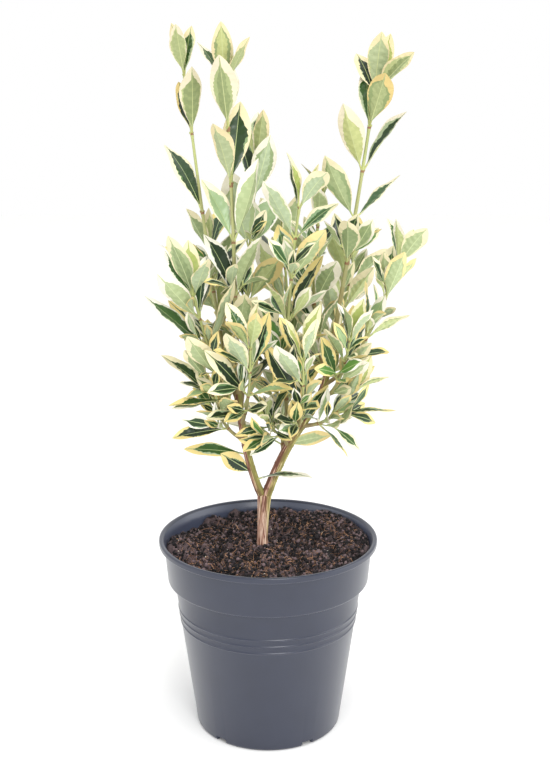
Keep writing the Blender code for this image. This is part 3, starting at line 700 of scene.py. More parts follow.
def rod(control, t, radii, sides, dome=0.0):
    """Points and faces of a closed round rod: rings square to the curve at t, radii by ring and side.

    Both ends close in a point that stands out by the dome times the end's radius.
    """
    heading = curve_heading(control, t)
    across = unit(np.cross(heading, (0.0, 1.0, 0.0)))
    deep = np.cross(heading, across)
    angle = np.arange(sides) * 2 * math.pi / sides
    round_about = np.cos(angle)[:, None] * across[:, None, :] + np.sin(angle)[:, None] * deep[:, None, :]
    radii = np.broadcast_to(radii, (len(t), sides))
    centre = curve_point(control, t)
    rings = centre[:, None, :] + radii[..., None] * round_about
    foot = centre[0] - heading[0] * dome * radii[0].mean()
    tip = centre[-1] + heading[-1] * dome * radii[-1].mean()
    return np.vstack([rings.reshape(-1, 3), foot, tip]), ringed_faces(len(t), sides)


def bark_piece(name, seed, material):
    """A limb as a rod whose radius sinks by the cube of folded noise in fissures and rises in flakes.

    brown is 1 on old bark and falls up the limb and away from its left side. relief is the height of
    the bark over its mean, from -1 to 1, and dark on the ring scars that old leaf pairs left.
    """
    limb = LIMBS[name]
    span = curve_length(limb.line)
    t = np.linspace(0, 1, int(span / BARK_RING_STEP) + 1)[:, None]
    angle = np.arange(BARK_SIDES)[None, :] / BARK_SIDES
    radius = limb_radius(name, t)
    cells = [max(4, round(2 * math.pi * radius.mean() / size)) for size, _ in (FISSURE_SIZES, FLAKE_SIZES)]
    fissure = 1 - 2 * np.abs(lumps(angle * cells[0], t * span / FISSURE_SIZES[1], seed, cells[0]))
    flake = lumps(angle * cells[1], t * span / FLAKE_SIZES[1], seed + 1, cells[1])
    brown = limb.brown[0] + (limb.brown[1] - limb.brown[0]) * t
    brown = brown + SUNNY_SIDE * (1 - limb.brown[1]) * np.cos(2 * math.pi * angle)
    wander = BROWN_WANDER * lumps(angle * cells[0], t * span / FISSURE_SIZES[1], seed + 2, cells[0])
    brown = np.clip(0.5 + BROWN_EDGE * (brown + wander - 0.5), 0, 1)
    relief = -np.maximum(fissure, 0) ** 3 * FISSURE_DEPTH + flake * FLAKE_DEPTH
    scale = (LENTICEL_DEPTH + (1 - LENTICEL_DEPTH) * brown) * radius / radius.max()
    along = t * span / SCAR_STEP + 0.5
    scar = np.exp(-(((along - np.round(along)) * SCAR_STEP / SCAR_WIDTH) ** 2)) * (name != "trunk")
    scar_tone = scar * (SCAR_DARK + SCAR_UNEVEN * np.cos(4 * math.pi * angle))
    relief_drawn = relief / FISSURE_DEPTH + limb.pale - scar_tone
    radii = radius + relief * scale + SCAR_HEIGHT * scar
    piece = surface(name + "_bark", *rod(limb.line, t[:, 0], radii, BARK_SIDES, END_DOME), [material])
    for attribute, values in (("brown", brown), ("relief", relief_drawn)):
        layer = piece.data.attributes.new(attribute, "FLOAT", "POINT")
        layer.data.foreach_set("value", np.append(values.ravel(), (values[0].mean(), values[-1].mean())))
    return piece


# Young shrub bark: dry and matt, its cracks dark, the edges of its flakes bleached. The green bark
# between is smooth, with a slight sheen.
bark = finish("shrub_bark", BARK_BROWN[1], BARK_ROUGHNESS)
place = add_node(bark, "TexCoord").outputs["Object"]
relief_at = add_node(bark, "Attribute", attribute_name="relief")
brown_at = add_node(bark, "Attribute", attribute_name="brown")
drawn_out = add_node(bark, "VectorMath", {1: BARK_STRETCH}, {0: place}, operation="MULTIPLY").outputs[0]
speck = add_node(bark, "TexNoise", {"Scale": 1 / (BARK_SPECK * MM), "Detail": 4}, {"Vector": drawn_out})
height = add_node(bark, "Math", links={0: relief_at.outputs["Fac"], 1: speck.outputs[0]})
ramps = []
for colours in (BARK_BROWN, BARK_GREEN):
    ramp = add_node(bark, "ValToRGB", links={0: height.outputs[0]})
    ramp.color_ramp.elements.new(0.5)
    for element, position, colour in zip(ramp.color_ramp.elements, BARK_STOPS, colours):
        element.position = position
        element.color = linear(colour)
    ramps.append(ramp)
green_to_brown = {0: brown_at.outputs["Fac"], 6: ramps[1].outputs[0], 7: ramps[0].outputs[0]}
blend = add_node(bark, "Mix", links=green_to_brown, data_type="RGBA")
crackle_depth = {"Strength": CRACKLE_STRENGTH, "Distance": CRACKLE_DEPTH * MM}
crackle = add_node(bark, "Bump", crackle_depth, {"Height": speck.outputs[0]})
shade(bark, Base_Color=blend.outputs[2], Normal=crackle.outputs[0])

for number, limb_name in enumerate(LIMBS):
    piece = bark_piece(limb_name, BARK_SEED + SEEDS_EACH * number, bark)
    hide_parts(limb_name)
    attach(piece, "root")

# Growth. Every shoot is one green stem from its limb to its tip, with opposite pairs of leaves that
# crowd towards the tip. This is the rule that the solids grew by, with the same sizes and seeds.
KEEP_AWAY = 0.6
GUARD_FROM = 0.14
SIDESTEPS = ((0, 0), (16, -3), (-16, -3), (30, -6), (-30, -6), (0, 12))
LIMB_SIDES = 10
LIMB_RINGS = 10
STALK_PART = 0.15
STALK_HALF = 0.6
WIDTH_PART = 0.43
LOW_WIDTH_PART = 0.32
NARROW_BETWEEN = (270.0, 400.0)
TIP_LEAF_WIDTH_PART = 0.38
FOOT_TAPER = 1.15
TIP_TAPER = 0.95
BLADE_STATIONS = (0.38, 0.74)
LEAF_THICK = 0.8
LIFT = 0.10
ROLL = 0.4
LIGHT_FROM = np.array((0.1, -1.0, 0.3))
FACING_PART = 0.3
WIDTH_RANGE = (0.92, 1.1)
CURL_RANGE = (-0.55, 0.25)
FOLD_RANGE = (0.2, 0.6)
TWIST = 0.3
STRAIGHT_ENOUGH = 0.001
YOUNG = 2.0
STEM_SIDES = 5
STEM_RINGS = 9
STEM_TAPER = 0.5
CARRY_ON = 30.0
SWING_OUT = 16.0
SWING_UP = 14.0
TURN_STEP = 85.0
START_WANDER = 45.0
SET_WANDER = 14.0
RULED_WANDER = 26.0
CROWDING = 1.3
LOW_PAIR_SIZE = 0.85
MIDDLE_GAIN = 0.6
TOP_PAIR_SIZE = 0.9
SPREAD_WANDER = 11.0
LENGTH_RANGE = (0.82, 1.12)
TIP_TURN_WANDER = 20.0
TIP_SPREAD = (8.0, 20.0)
TIP_LENGTH = (0.6, 0.85)
Shoot = collections.namedtuple("Shoot", "limb at tip bow radius pairs bare leaf spread turns seed")
# Not chosen by hand: a search that scored paintings of the plant against the photograph found the
# seeds, nearly all turns, most bare parts and leaf lengths, and some spreads and numbers of pairs.
SHOOT_ROWS = (
    ("right_tall", "bough_right_upper", 1.0, (85, 0, 547), (2, 0, 0), 2.3,
     5, 0.50, 54, (46, 30), (-90, 30, 30, -75, -30), 817),
    ("left_inner", "bough_left", 1.0, (-33, -12, 552), (4, -6, 0), 2.2,
     7, 0.11, 59, (30, 18), (0, 100, -32, 170, 75, 90, -15), 325),
    ("left_tall", "bough_left", 0.93, (-67, 15, 561), (-5, 4, 0), 2.0,
     5, 0.29, 52, (30, 14), (-30, 0, -15, -60, 20), 367),
    ("left_back", "bough_left", 0.86, (-9, 28, 490), (-4, 14, 0), 2.0,
     6, 0.18, 60, (56, 18), (15, 60, -45, 60, -60, -80), 806),
    ("centre", "bough_right", 0.70, (25, -18, 458), (-10, -8, 0), 2.1,
     6, 0.34, 50, (50, 30), (20,), 240),
    ("centre_right", "bough_right_upper", 0.75, (45, 22, 462), (-14, 10, 0), 1.9,
     6, 0.10, 42, (50, 26), (80,), 854),
    ("right_side", "bough_right_upper", 0.60, (105, -18, 412), (12, -6, -6), 1.9,
     4, 0.28, 47, (34, 30), (-90, 0, -90, -60), 895),
    ("left_side", "bough_left", 0.79, (-60, -24, 388), (-4, -8, -4), 1.9,
     5, 0.30, 60, (60, 36), (10,), 430),
    ("right_low", "bough_right", 0.93, (68, -14, 304), (6, -6, -8), 1.8,
     5, 0.30, 44, (66, 40), (0,), 45),
    ("right_mid", "bough_right_upper", 0.30, (66, -34, 352), (8, -10, -8), 1.8,
     4, 0.30, 46, (56, 34), (30,), 867),
    ("centre_low", "bough_right", 0.62, (0, -26, 284), (-4, -6, 0), 1.5,
     4, 0.43, 31, (75, 50), (20,), 838),
    ("left_low", "bough_left", 0.57, (-50, -16, 318), (-6, -4, -8), 1.7,
     4, 0.35, 54, (64, 40), (0,), 241),
    ("front_left", "bough_left", 0.72, (-14, -52, 350), (4, -16, -6), 1.7,
     4, 0.30, 52, (58, 34), (50,), 665),
    ("front_centre", "bough_right", 0.80, (28, -52, 340), (4, -16, -6), 1.7,
     4, 0.27, 52, (58, 34), (30,), 312),
    ("back_left", "bough_left", 0.65, (-50, 62, 410), (-2, 18, -8), 2.0,
     6, 0.20, 59, (50, 30), (0,), 805),
    ("back_centre", "bough_right", 0.85, (14, 72, 420), (0, 20, -8), 2.0,
     6, 0.23, 59, (50, 26), (10,), 915),
    ("back_right", "bough_right_upper", 0.45, (74, 58, 400), (4, 18, -8), 2.0,
     6, 0.23, 47, (50, 30), (30,), 602),
    ("back_low", "bough_right", 0.50, (6, 48, 320), (0, 14, -8), 1.8,
     5, 0.16, 52, (60, 38), (10,), 752),
)
SHOOTS = {"shoot_" + name: Shoot(*row) for name, *row in SHOOT_ROWS}
LowLeaf = collections.namedtuple("LowLeaf", "limb at turn spread length width_part curl facing")
LOW_LEAF_SEED = 7
LOW_LEAVES = {
    "low_leaf_left": LowLeaf("bough_left", 0.44, 185, 72, 48, 0.32, -0.3, 0.4),
    "low_leaf_oval": LowLeaf("bough_left", 0.26, 195, 42, 31, 0.54, 0.1, 0.95),
    "low_leaf_fork": LowLeaf("bough_left", 0.20, -32, 84, 52, 0.28, -0.5, 0.0),
}
Leaf = collections.namedtuple("Leaf", "root ahead upper length width curl fold twist")
Grown = collections.namedtuple("Grown", "leaf owner age")


def turned(v, axis, angle):
    """The vector turned about a unit axis."""
    c, s = np.cos(angle), np.sin(angle)
    return v * c + np.cross(axis, v) * s + axis * (axis * v).sum(-1, keepdims=True) * (1 - c)


def outward_at(heading, turn):
    """The direction square to a stem at a turn about it in degrees, which counts from +X."""
    right = unit(np.cross((0.0, 1.0, 0.0), heading))
    return turned(right, heading, math.radians(turn))


def turn_to_light(ahead, upper):
    """The lesser turn about its length that would set a leaf's upper or under face square to the light."""
    angle = math.atan2(LIGHT_FROM @ np.cross(ahead, upper), LIGHT_FROM @ upper)
    return angle - math.pi * round(angle / math.pi)


def width_part_at(height):
    """A leaf's width over its length: narrow low in the crown, and wider with height up to full width."""
    low, high = NARROW_BETWEEN
    part = min(max((height - low) / (high - low), 0), 1)
    return LOW_WIDTH_PART + (WIDTH_PART - LOW_WIDTH_PART) * part


def leaf_on(root, heading, turn, spread, length, width_part, curl, rng, facing=FACING_PART):
    """A leaf whose stalk leaves the stem by the spread, at a turn about it."""
    outward = outward_at(heading, turn)
    spread = math.radians(spread)
    ahead = unit(math.cos(spread) * heading + math.sin(spread) * outward + LIFT * UP)
    upper = unit(heading - ahead * (ahead @ heading))
    upper = turned(upper, ahead, rng.uniform(-ROLL, ROLL) + facing * turn_to_light(ahead, upper))
    width = length * width_part * rng.uniform(*WIDTH_RANGE)
    own_curl = rng.uniform(*CURL_RANGE)
    fold = rng.uniform(*FOLD_RANGE)
    twist = rng.uniform(-TWIST, TWIST)
    return Leaf(root, ahead, upper, length, width, own_curl if curl is None else curl, fold, twist)


def tries_at(stem, at, turn, spread, length, width_part, rng):
    """One leaf as drawn, and the same leaf stepped aside, for where the first would touch."""
    state = rng.getstate()
    root, heading = curve_point(stem, at), curve_heading(stem, at)
    tries = []
    for turn_step, spread_step in SIDESTEPS:
        rng.setstate(state)
        angles = turn + turn_step, spread + spread_step
        tries.append(leaf_on(root, heading, *angles, length, width_part, None, rng))
    return tries


def leaves_of(shoot):
    """The pairs of leaves up a shoot and the young pair at its tip, each as its age and its tries.

    Pairs crowd towards the tip, and the spread narrows from the lowest to the highest.
    """
    rng = random.Random(shoot.seed)
    stem = stem_line(shoot)
    turns, wander = shoot.turns, SET_WANDER
    if len(turns) == 1:
        start = turns[0] + rng.uniform(-START_WANDER, START_WANDER)
        turns, wander = [start + TURN_STEP * pair for pair in range(shoot.pairs)], RULED_WANDER
    leaves = []
    for pair in range(shoot.pairs):
        part = pair / (shoot.pairs - 1)
        at = shoot.bare + (1 - shoot.bare) * (1 - (1 - part) ** CROWDING)
        size = shoot.leaf * (LOW_PAIR_SIZE + MIDDLE_GAIN * part * (1 - part))
        size *= TOP_PAIR_SIZE if part == 1 else 1
        for half in (0, 180):
            turn = turns[pair] + half + rng.uniform(-wander, wander)
            spread = shoot.spread[0] + (shoot.spread[1] - shoot.spread[0]) * part
            spread += rng.uniform(-SPREAD_WANDER, SPREAD_WANDER)
            length = size * rng.uniform(*LENGTH_RANGE)
            width_part = width_part_at(curve_point(stem, at)[2])
            leaves.append((part, tries_at(stem, at, turn, spread, length, width_part, rng)))
    for half in (0, 180):
        turn = turns[-1] + TURN_STEP + half + rng.uniform(-TIP_TURN_WANDER, TIP_TURN_WANDER)
        spread = rng.uniform(*TIP_SPREAD)
        length = shoot.leaf * rng.uniform(*TIP_LENGTH)
        leaves.append((YOUNG, tries_at(stem, 1.0, turn, spread, length, TIP_LEAF_WIDTH_PART, rng)))
    return leaves


def stem_line(shoot):
    """Control points of a stem that swings out from its limb's side, or carries on from its tip."""
    line = LIMBS[shoot.limb].line
    foot, heading = curve_point(line, shoot.at), curve_heading(line, shoot.at)
    tip = np.array(shoot.tip, float)
    middle = (foot + tip) / 2 + np.array(shoot.bow, float)
    if shoot.at == 1:
        return (foot, foot + heading * CARRY_ON, middle, tip)
    sideways = middle - foot
    sideways = unit(sideways - heading * (sideways @ heading))
    return (foot, foot + sideways * SWING_OUT + heading * SWING_UP, middle, tip)


def low_leaf(low):
    line = LIMBS[low.limb].line
    rng = random.Random(LOW_LEAF_SEED)
    root, heading = curve_point(line, low.at), curve_heading(line, low.at)
    return leaf_on(root, heading, low.turn, low.spread, low.length, low.width_part, low.curl, rng, low.facing)


def half_width(leaf, t):
    """Half the blade's width: a power rise from the stalk and a nearly straight run to the tip."""
    widest = FOOT_TAPER / (FOOT_TAPER + TIP_TAPER)
    peak = widest**FOOT_TAPER * (1 - widest) ** TIP_TAPER
    return leaf.width / 2 * t**FOOT_TAPER * (1 - t) ** TIP_TAPER / peak


def blade_frame(leaf, t):
    """Midrib points, side and upper directions at t, on an arc that curls towards the upper face."""
    t = np.asarray(t, float)[..., None]
    curl = leaf.curl if abs(leaf.curl) > STRAIGHT_ENOUGH else STRAIGHT_ENOUGH
    foot = leaf.root + leaf.ahead * leaf.length * STALK_PART
    rise, run = (1 - np.cos(curl * t)) / curl, np.sin(curl * t) / curl
    middle = foot + leaf.length * (run * leaf.ahead + rise * leaf.upper)
    forward = np.cos(curl * t) * leaf.ahead + np.sin(curl * t) * leaf.upper
    upper = np.cos(curl * t) * leaf.upper - np.sin(curl * t) * leaf.ahead
    side = turned(np.cross(forward, upper), forward, leaf.twist * t)
    return middle, side, np.cross(side, forward)


def blade_rings(leaf, stations, grown=0.0):
    """Rings of left edge, under the midrib, right edge and over it, the edges raised by the fold."""
    stations = np.array(stations)
    middle, side, upper = blade_frame(leaf, stations)
    half = (half_width(leaf, stations) + grown)[:, None]
    thick = upper * (LEAF_THICK / 2 + grown)
    out = half * math.cos(leaf.fold) * side
    raised = middle + half * math.sin(leaf.fold) * upper
    return np.stack([raised + out, middle - thick, raised - out, middle + thick], 1).reshape(-1, 3)


def stalk_ring(leaf, centre, half):
    side = np.cross(leaf.ahead, leaf.upper)
    return [centre + corner * half for corner in (side, -leaf.upper, -side, leaf.upper)]


def tree_of(points, faces):
    return BVHTree.FromPolygons([tuple(point) for point in points], faces)


def leaf_tree(leaf):
    """The leaf as its solid has it: a square stalk, then the blade to its point.

    Each quad between its rings is split from the blade's edge below to its midrib above.
    """
    foot = blade_frame(leaf, 0.0)[0]
    points = stalk_ring(leaf, leaf.root, STALK_HALF) + stalk_ring(leaf, foot, STALK_HALF)
    points += [*blade_rings(leaf, BLADE_STATIONS), blade_frame(leaf, 1.0)[0]]
    faces = [(0, 1, 2), (0, 2, 3)]
    for number, (a, b, c, d) in enumerate(grid_faces(len(points) // 4, 4)):
        faces += [(a, b, c), (a, c, d)] if number % 2 == 0 else [(a, b, d), (b, c, d)]
    tip = len(points) - 1
    faces += [(tip - 4 + side, tip - 4 + (side + 1) % 4, tip) for side in range(4)]
    return tree_of(points, faces)


def guard_tree(rings):
    """Search tree of rings of four points, closed at both ends."""
    last = len(rings) - 4
    ends = [(0, 1, 2, 3), (last, last + 1, last + 2, last + 3)]
    return tree_of(rings, [*grid_faces(len(rings) // 4, 4), *ends])


def blade_guard(leaf):
    """The blade beyond its foot, wider and thicker by the distance that leaves keep."""
    return guard_tree(blade_rings(leaf, (GUARD_FROM, *BLADE_STATIONS, 1.0), KEEP_AWAY))


def whole_guard(leaf):
    """The whole leaf from the stem's heart, grown by the same distance."""
    blade = blade_rings(leaf, (0.0, GUARD_FROM, *BLADE_STATIONS, 1.0), KEEP_AWAY)
    return guard_tree([*stalk_ring(leaf, leaf.root, STALK_HALF + KEEP_AWAY), *blade])


def rod_tree(control, radii, sides, rings):
    return tree_of(*rod(control, np.linspace(0, 1, rings), radii, sides))


def first_clear(tries, owner, taken):
    """The first of a leaf's tries that is clear of all placed so far, or None.

    Beside its own shoot only the blade counts, as the stalk grows out of the stem.
    """
    for leaf in tries:
        blade, whole = blade_guard(leaf), whole_guard(leaf)
        if not any((blade if other == owner else whole).overlap(tree) for other, tree in taken):
            return leaf
    return None


limb_steps = np.linspace(0, 1, LIMB_RINGS)[:, None]
stem_steps = np.linspace(0, 1, STEM_RINGS)[:, None]
placed = [
    (name, rod_tree(limb.line, limb_radius(name, limb_steps), LIMB_SIDES, LIMB_RINGS))
    for name, limb in LIMBS.items()
]
placed += [
    (name, rod_tree(stem_line(shoot), shoot.radius * (1 - STEM_TAPER * stem_steps), STEM_SIDES, STEM_RINGS))
    for name, shoot in SHOOTS.items()
]
grown = [Grown(low_leaf(low), name, 0.0) for name, low in LOW_LEAVES.items()]
placed += [(plant.owner, leaf_tree(plant.leaf)) for plant in grown]
for shoot_name, shoot in SHOOTS.items():
    for age, leaf_tries in leaves_of(shoot):
        found = first_clear(leaf_tries, shoot_name, placed)
        if found:
            grown.append(Grown(found, shoot_name, age))
            placed.append((shoot_name, leaf_tree(found)))

# Stems. Young green wood, round, thickened where each pair of leaves stands and where the stem leaves
# its limb. The lower part has begun to turn to tan bark.
STEM_ROUND = 12
STEM_RING_STEP = 1.5
NODE_SWELL = 0.35
NODE_SWELL_LENGTH = 1.8
FOOT_SWELL = 0.6
FOOT_SWELL_LENGTH = 5.0
NODE_SCAR = 1.0
TIP_DOME = 0.8
STEM_AGES = ("93845C", "988F5E", "9D9A68", "A5A76F", "ADB474")
STEM_ROUGHNESS = 0.55
SCAR_BROWN = "8A6A4A"
SCAR_ROUGHNESS = 0.8


def pair_places(shoot):
    """The parts of the stem at which its pairs stand."""
    part = np.arange(shoot.pairs) / (shoot.pairs - 1)
    return shoot.bare + (1 - shoot.bare) * (1 - (1 - part) ** CROWDING)


def stem_surface(shoot):
    """Points, faces and picks of a rod with a swelling of bell shape at each pair.

    Its colour changes up the stem, and a narrow ring at each pair is the scar of old bud scales.
    """
    line = stem_line(shoot)
    span = curve_length(line)
    t = np.linspace(0, 1, int(span / STEM_RING_STEP) + 1)
    from_pair = np.abs(t[:, None] - pair_places(shoot)) * span
    bells = np.exp(-((from_pair / NODE_SWELL_LENGTH) ** 2)).sum(1)
    tip_of_limb = LIMBS[shoot.limb].radii[1] - shoot.radius if shoot.at == 1 else FOOT_SWELL
    radius = shoot.radius * (1 - STEM_TAPER * t) + NODE_SWELL * np.minimum(bells, 1)
    radius += tip_of_limb * np.exp(-t * span / FOOT_SWELL_LENGTH)
    points, faces = rod(line, t, radius[:, None], STEM_ROUND, TIP_DOME)
    ages = np.minimum((t[:-1] * len(STEM_AGES)).astype(int), len(STEM_AGES) - 1)
    ages[from_pair[:-1].min(1) < NODE_SCAR] = len(STEM_AGES)
    end_ages = (0, len(STEM_AGES) - 1)
    return points, faces, np.repeat(np.append(ages, end_ages), STEM_ROUND)


def joined(parts):
    """One list of points and one of faces from several."""
    points, faces, start = [], [], 0
    for part_points, part_faces in parts:
        points.append(part_points)
        faces += [[start + number for number in face] for face in part_faces]
        start += len(part_points)
    return np.vstack(points), faces


stem_parts = [stem_surface(shoot) for shoot in SHOOTS.values()]
stem_picks = np.concatenate([picks for _, _, picks in stem_parts])
stem_shell = joined([(points, faces) for points, faces, _ in stem_parts])
# Smooth young bark with a faint sheen, and corky, matt scars.
stem_barks = finishes("stem_bark_age", STEM_AGES, STEM_ROUGHNESS)
cork = finish("node_scar", SCAR_BROWN, SCAR_ROUGHNESS)
stems = surface("stems", *stem_shell, [*stem_barks, cork], stem_picks)
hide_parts(*SHOOTS)
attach(stems, "root")

# Leaves: leathery evergreen blades, glossy above and matt beneath, with a cream or golden margin that
# meets the green in ragged lobes. Each is a closed shell, folded on its midrib, quilted between its
# side veins and wavy at its edges, and a shoot's leaves are one mesh.
BLADE_RINGS = 36
BLADE_SEED = 30
STALK_STEPS = (0.0, 0.5)
STALK_ROUND = 0.75
BLADE_HALF_THICK = 0.22
KEEL = 0.35
GROOVE = 0.2
ARCH = 0.16
QUILT = 0.42
QUILT_SLANT = 1.3
VEIN_PAIRS = 7
VEIN_HALF = 0.4
VEIN_TAPER = 0.7
VEIN_LIMITS = (0.02, 0.4)
CORE_LEAST = 0.04
ZONE_LEAST = 0.06
FULL_HALF_WIDTH = 8.0
STALK_FADE = 0.05
EDGE_WAVE = 0.9
EDGE_WAVES = 1.7
TOOTH = 0.008
CORE_SPLIT = 0.5
MARGIN_PARTS = (0.14, 0.5)
LOW_MARGIN_PARTS = (0.3, 0.72)
HALF_MARGINS = (0.6, 1.35)
MARGIN_GROWTH = (0.3, 1.3)
GREEN_ENDS = (0.76, 0.93)
GREEN_FADE = 0.2
FADE_POWER = 0.6
GREEN_LIMITS = (0.1, 0.97)
CORE_LIMITS = (0.25, 0.98)
CORE_PARTS = (0.97, 0.95, 0.8, 0.65)
WANDER = 0.08
WANDER_KNOTS = 9
RAGGED = 0.07
ZONE_WANDER = 0.2
STREAK_PART = 0.32
CREASE_ANGLE = 80.0
LOW_DOWN = 380.0
GOLD_BELOW = 440.0
GOLD_DEPTH = 260.0
GOLD_SHARES = (0.1, 0.65)
GREEN_CORES = ("1D311C", "284322", "3A5C2D", "5A873C", "98B080")
CORE_CHANCES = (0.32, 0.3, 0.2, 0.1, 0.08)
GREEN_ZONES = ("688859", "88A379", "ABBD9C")
MARGINS = ("F0ECDE", "EEE5C2", "E8D38E")
VEIN_GREEN = "B4C48A"
UNDER_CORES = ("8F9F72", "A7B586", "B9C389", "ACBB97")
UNDER_STREAKS = ("97A677", "AFBC8D", "C1CA90", "B4C29E")
UNDER_ZONES = ("93A577", "A8B787", "BAC694")
UNDER_MARGINS = ("E9E3D0", "E7DDB8", "E1CD90")
UNDER_VEIN = "C8D3A0"
YOUNG_CORES = ("A6B264", "B6BE74")
YOUNG_MARGINS = ("E0DCB2", "E4D9B2")
STALK_GREEN = "BEC583"
# Painted shade: above this height every leaf colour is multiplied by the tone below, darker and warmer,
# against the strong light there.
HIGH_ABOVE = 460.0
HIGH_PAINTED_SHADE = (0.86, 0.82, 0.73, 1.0)


def mirrored(margin, zone, core, vein):
    """The finishes across one side of a leaf, from edge to edge."""
    return [margin, zone, core, core, vein, core, core, zone, margin]


COLUMNS = 2 * len(mirrored(0, 0, 0, 0))


def boundaries(rng, stations, margin):
    """How far the dark core and the grey-green zone reach across each half, as parts of its width.

    The margin widens from foot to tip by the square of the place along, more in one half than in
    the other. The green's edge wanders, has a tooth at each ring, and ends short of the tip.
    """
    foot, growth = MARGIN_GROWTH
    trend = 1 - margin * rng.uniform(*HALF_MARGINS, (2, 1)) * (foot + growth * stations**2)
    knots = np.linspace(0, 1, WANDER_KNOTS)
    wander = np.stack([np.interp(stations, knots, rng.uniform(-1, 1, WANDER_KNOTS)) for half in range(2)])
    teeth = rng.uniform(-1, 1, wander.shape)
    fade = np.clip((rng.uniform(*GREEN_ENDS, (2, 1)) - stations) / GREEN_FADE, 0, 1) ** FADE_POWER
    outer = np.clip((trend + WANDER * wander + RAGGED * teeth) * fade, *GREEN_LIMITS)
    share = rng.choice(CORE_PARTS) + ZONE_WANDER * np.roll(wander, 3, axis=1)
    inner = outer * np.clip(share + RAGGED * np.roll(teeth, 3, axis=1), *CORE_LIMITS)
    return inner, outer


def leaf_shell(leaf, rng, margin, ring_count):
    """Points of rings round a leaf: nine from its left edge over the top, nine back beneath, its point.

    Across a half the blade rises by its fold, arches down towards the edge, waves there, and is
    quilted between the side veins. Along the stalk the ring is a small circle.
    """
    stations = np.arange(1, ring_count) / ring_count
    inner, outer = boundaries(rng, stations, margin)
    stalks = np.array(STALK_STEPS)
    ringed = len(stalks) + 1
    t = np.concatenate([0 * stalks, [0.0], stations])
    half = half_width(leaf, t) * (1 + TOOTH * np.cos(math.pi * np.arange(len(t))))
    middle, side, upper = blade_frame(leaf, t)
    middle[: len(stalks)] -= np.outer(1 - stalks, leaf.ahead * leaf.length * STALK_PART)
    wide = half[ringed:, None]
    vein = np.clip(VEIN_HALF * (1 - VEIN_TAPER * stations) / wide[:, 0], *VEIN_LIMITS)
    inner, outer = np.maximum(inner, vein + CORE_LEAST), np.maximum(outer, vein + ZONE_LEAST)
    between = vein + (inner - vein) * CORE_SPLIT
    edge = np.ones_like(stations)
    above = [-edge, -outer[0], -inner[0], -between[0], -vein, vein, between[1], inner[1], outer[1]]
    across = np.stack([*above, edge, *above[:0:-1]], 1)
    over = np.array([0] + [1] * 8 + [0] + [-1] * 8)
    near = np.abs(across)
    along = stations[:, None]
    waves = np.sin(2 * math.pi * (EDGE_WAVES * along + rng.uniform(0, 1, 2)[(across > 0).astype(int)]))
    quilt = np.sin(2 * math.pi * (VEIN_PAIRS * along - QUILT_SLANT * near)) * np.sin(math.pi * near)
    grown = np.minimum(wide / FULL_HALF_WIDTH, 1)
    rise = wide * (math.sin(leaf.fold) * near - ARCH * near**2)
    rise = rise + grown * (QUILT * quilt + EDGE_WAVE * near**2 * waves)
    rise = rise + over * BLADE_HALF_THICK * np.sqrt(np.maximum(1 - near**2, 0))
    at_vein = (near <= vein[:, None]) * (1 - along)
    rise = rise - at_vein * np.where(over > 0, GROOVE, KEEL)
    circle = 2 * math.pi * np.arange(COLUMNS) / COLUMNS
    ring_x, ring_z = -np.cos(circle) * STALK_ROUND, np.sin(circle) * STALK_ROUND
    stalky = np.exp(-along / STALK_FADE)
    out = np.vstack([np.tile(ring_x, (ringed, 1)), across * wide + stalky * ring_x])
    up = np.vstack([np.tile(ring_z, (ringed, 1)), rise + stalky * ring_z])
    flat = math.cos(leaf.fold) * side[:, None, :]
    rings = middle[:, None, :] + out[..., None] * flat + up[..., None] * upper[:, None, :]
    return np.vstack([rings.reshape(-1, 3), blade_frame(leaf, 1.0)[0][None]])


def leaf_faces(ring_count):
    """Triangles round the rings, a fan to the leaf's point and a cap on its stalk.

    Quads over and under the thin blade are split on the same diagonal, so neither pokes through.
    """
    rings = len(STALK_STEPS) + ring_count
    last = (rings - 1) * COLUMNS
    a, b, c, d = grid_faces(rings, COLUMNS).T
    over = np.arange(len(a)) % COLUMNS < COLUMNS // 2
    first = np.where(over, (a, b, c), (a, b, d))
    second = np.where(over, (a, c, d), (b, c, d))
    body = np.stack([first.T, second.T], 1).reshape(-1, 3).tolist()
    fan = [[last + side, last + (side + 1) % COLUMNS, last + COLUMNS] for side in range(COLUMNS)]
    return body + fan + [list(range(COLUMNS))]


# The waxy upper face mirrors the sky as a grey sheen, most on the dark green. The underside has no
# wax and stays soft, and a young leaf is softer and yellower than either.
leaf_finishes, numbers = [], {}
for label, colours, roughness, specular in (
    ("core", GREEN_CORES, 0.32, 0.5),
    ("zone", GREEN_ZONES, 0.36, 0.45),
    ("margin", MARGINS, 0.42, 0.4),
    ("vein", (VEIN_GREEN,), 0.42, 0.4),
    ("under_core", UNDER_CORES, 0.6, 0.3),
    ("under_streak", UNDER_STREAKS, 0.6, 0.3),
    ("under_zone", UNDER_ZONES, 0.6, 0.3),
    ("under_margin", UNDER_MARGINS, 0.6, 0.3),
    ("under_vein", (UNDER_VEIN,), 0.6, 0.3),
    ("young_core", YOUNG_CORES, 0.42, 0.4),
    ("young_margin", YOUNG_MARGINS, 0.45, 0.4),
    ("stalk", (STALK_GREEN,), 0.5, 0.3),
):
    # Each colour also has a copy for the top of the crown, darkened and warmed: painted shade that tempers
    # its strong light.
    for height, tone in (("", np.ones(4)), ("high_", np.array(HIGH_PAINTED_SHADE))):
        numbers[height + label] = range(len(leaf_finishes), len(leaf_finishes) + len(colours))
        for number, colour in enumerate(colours):
            toned = {"Base Color": tone * linear(colour), "Specular IOR Level": specular}
            leaf_finishes.append(finish(f"leaf_{height}{label}_{number}", colour, roughness, **toned))


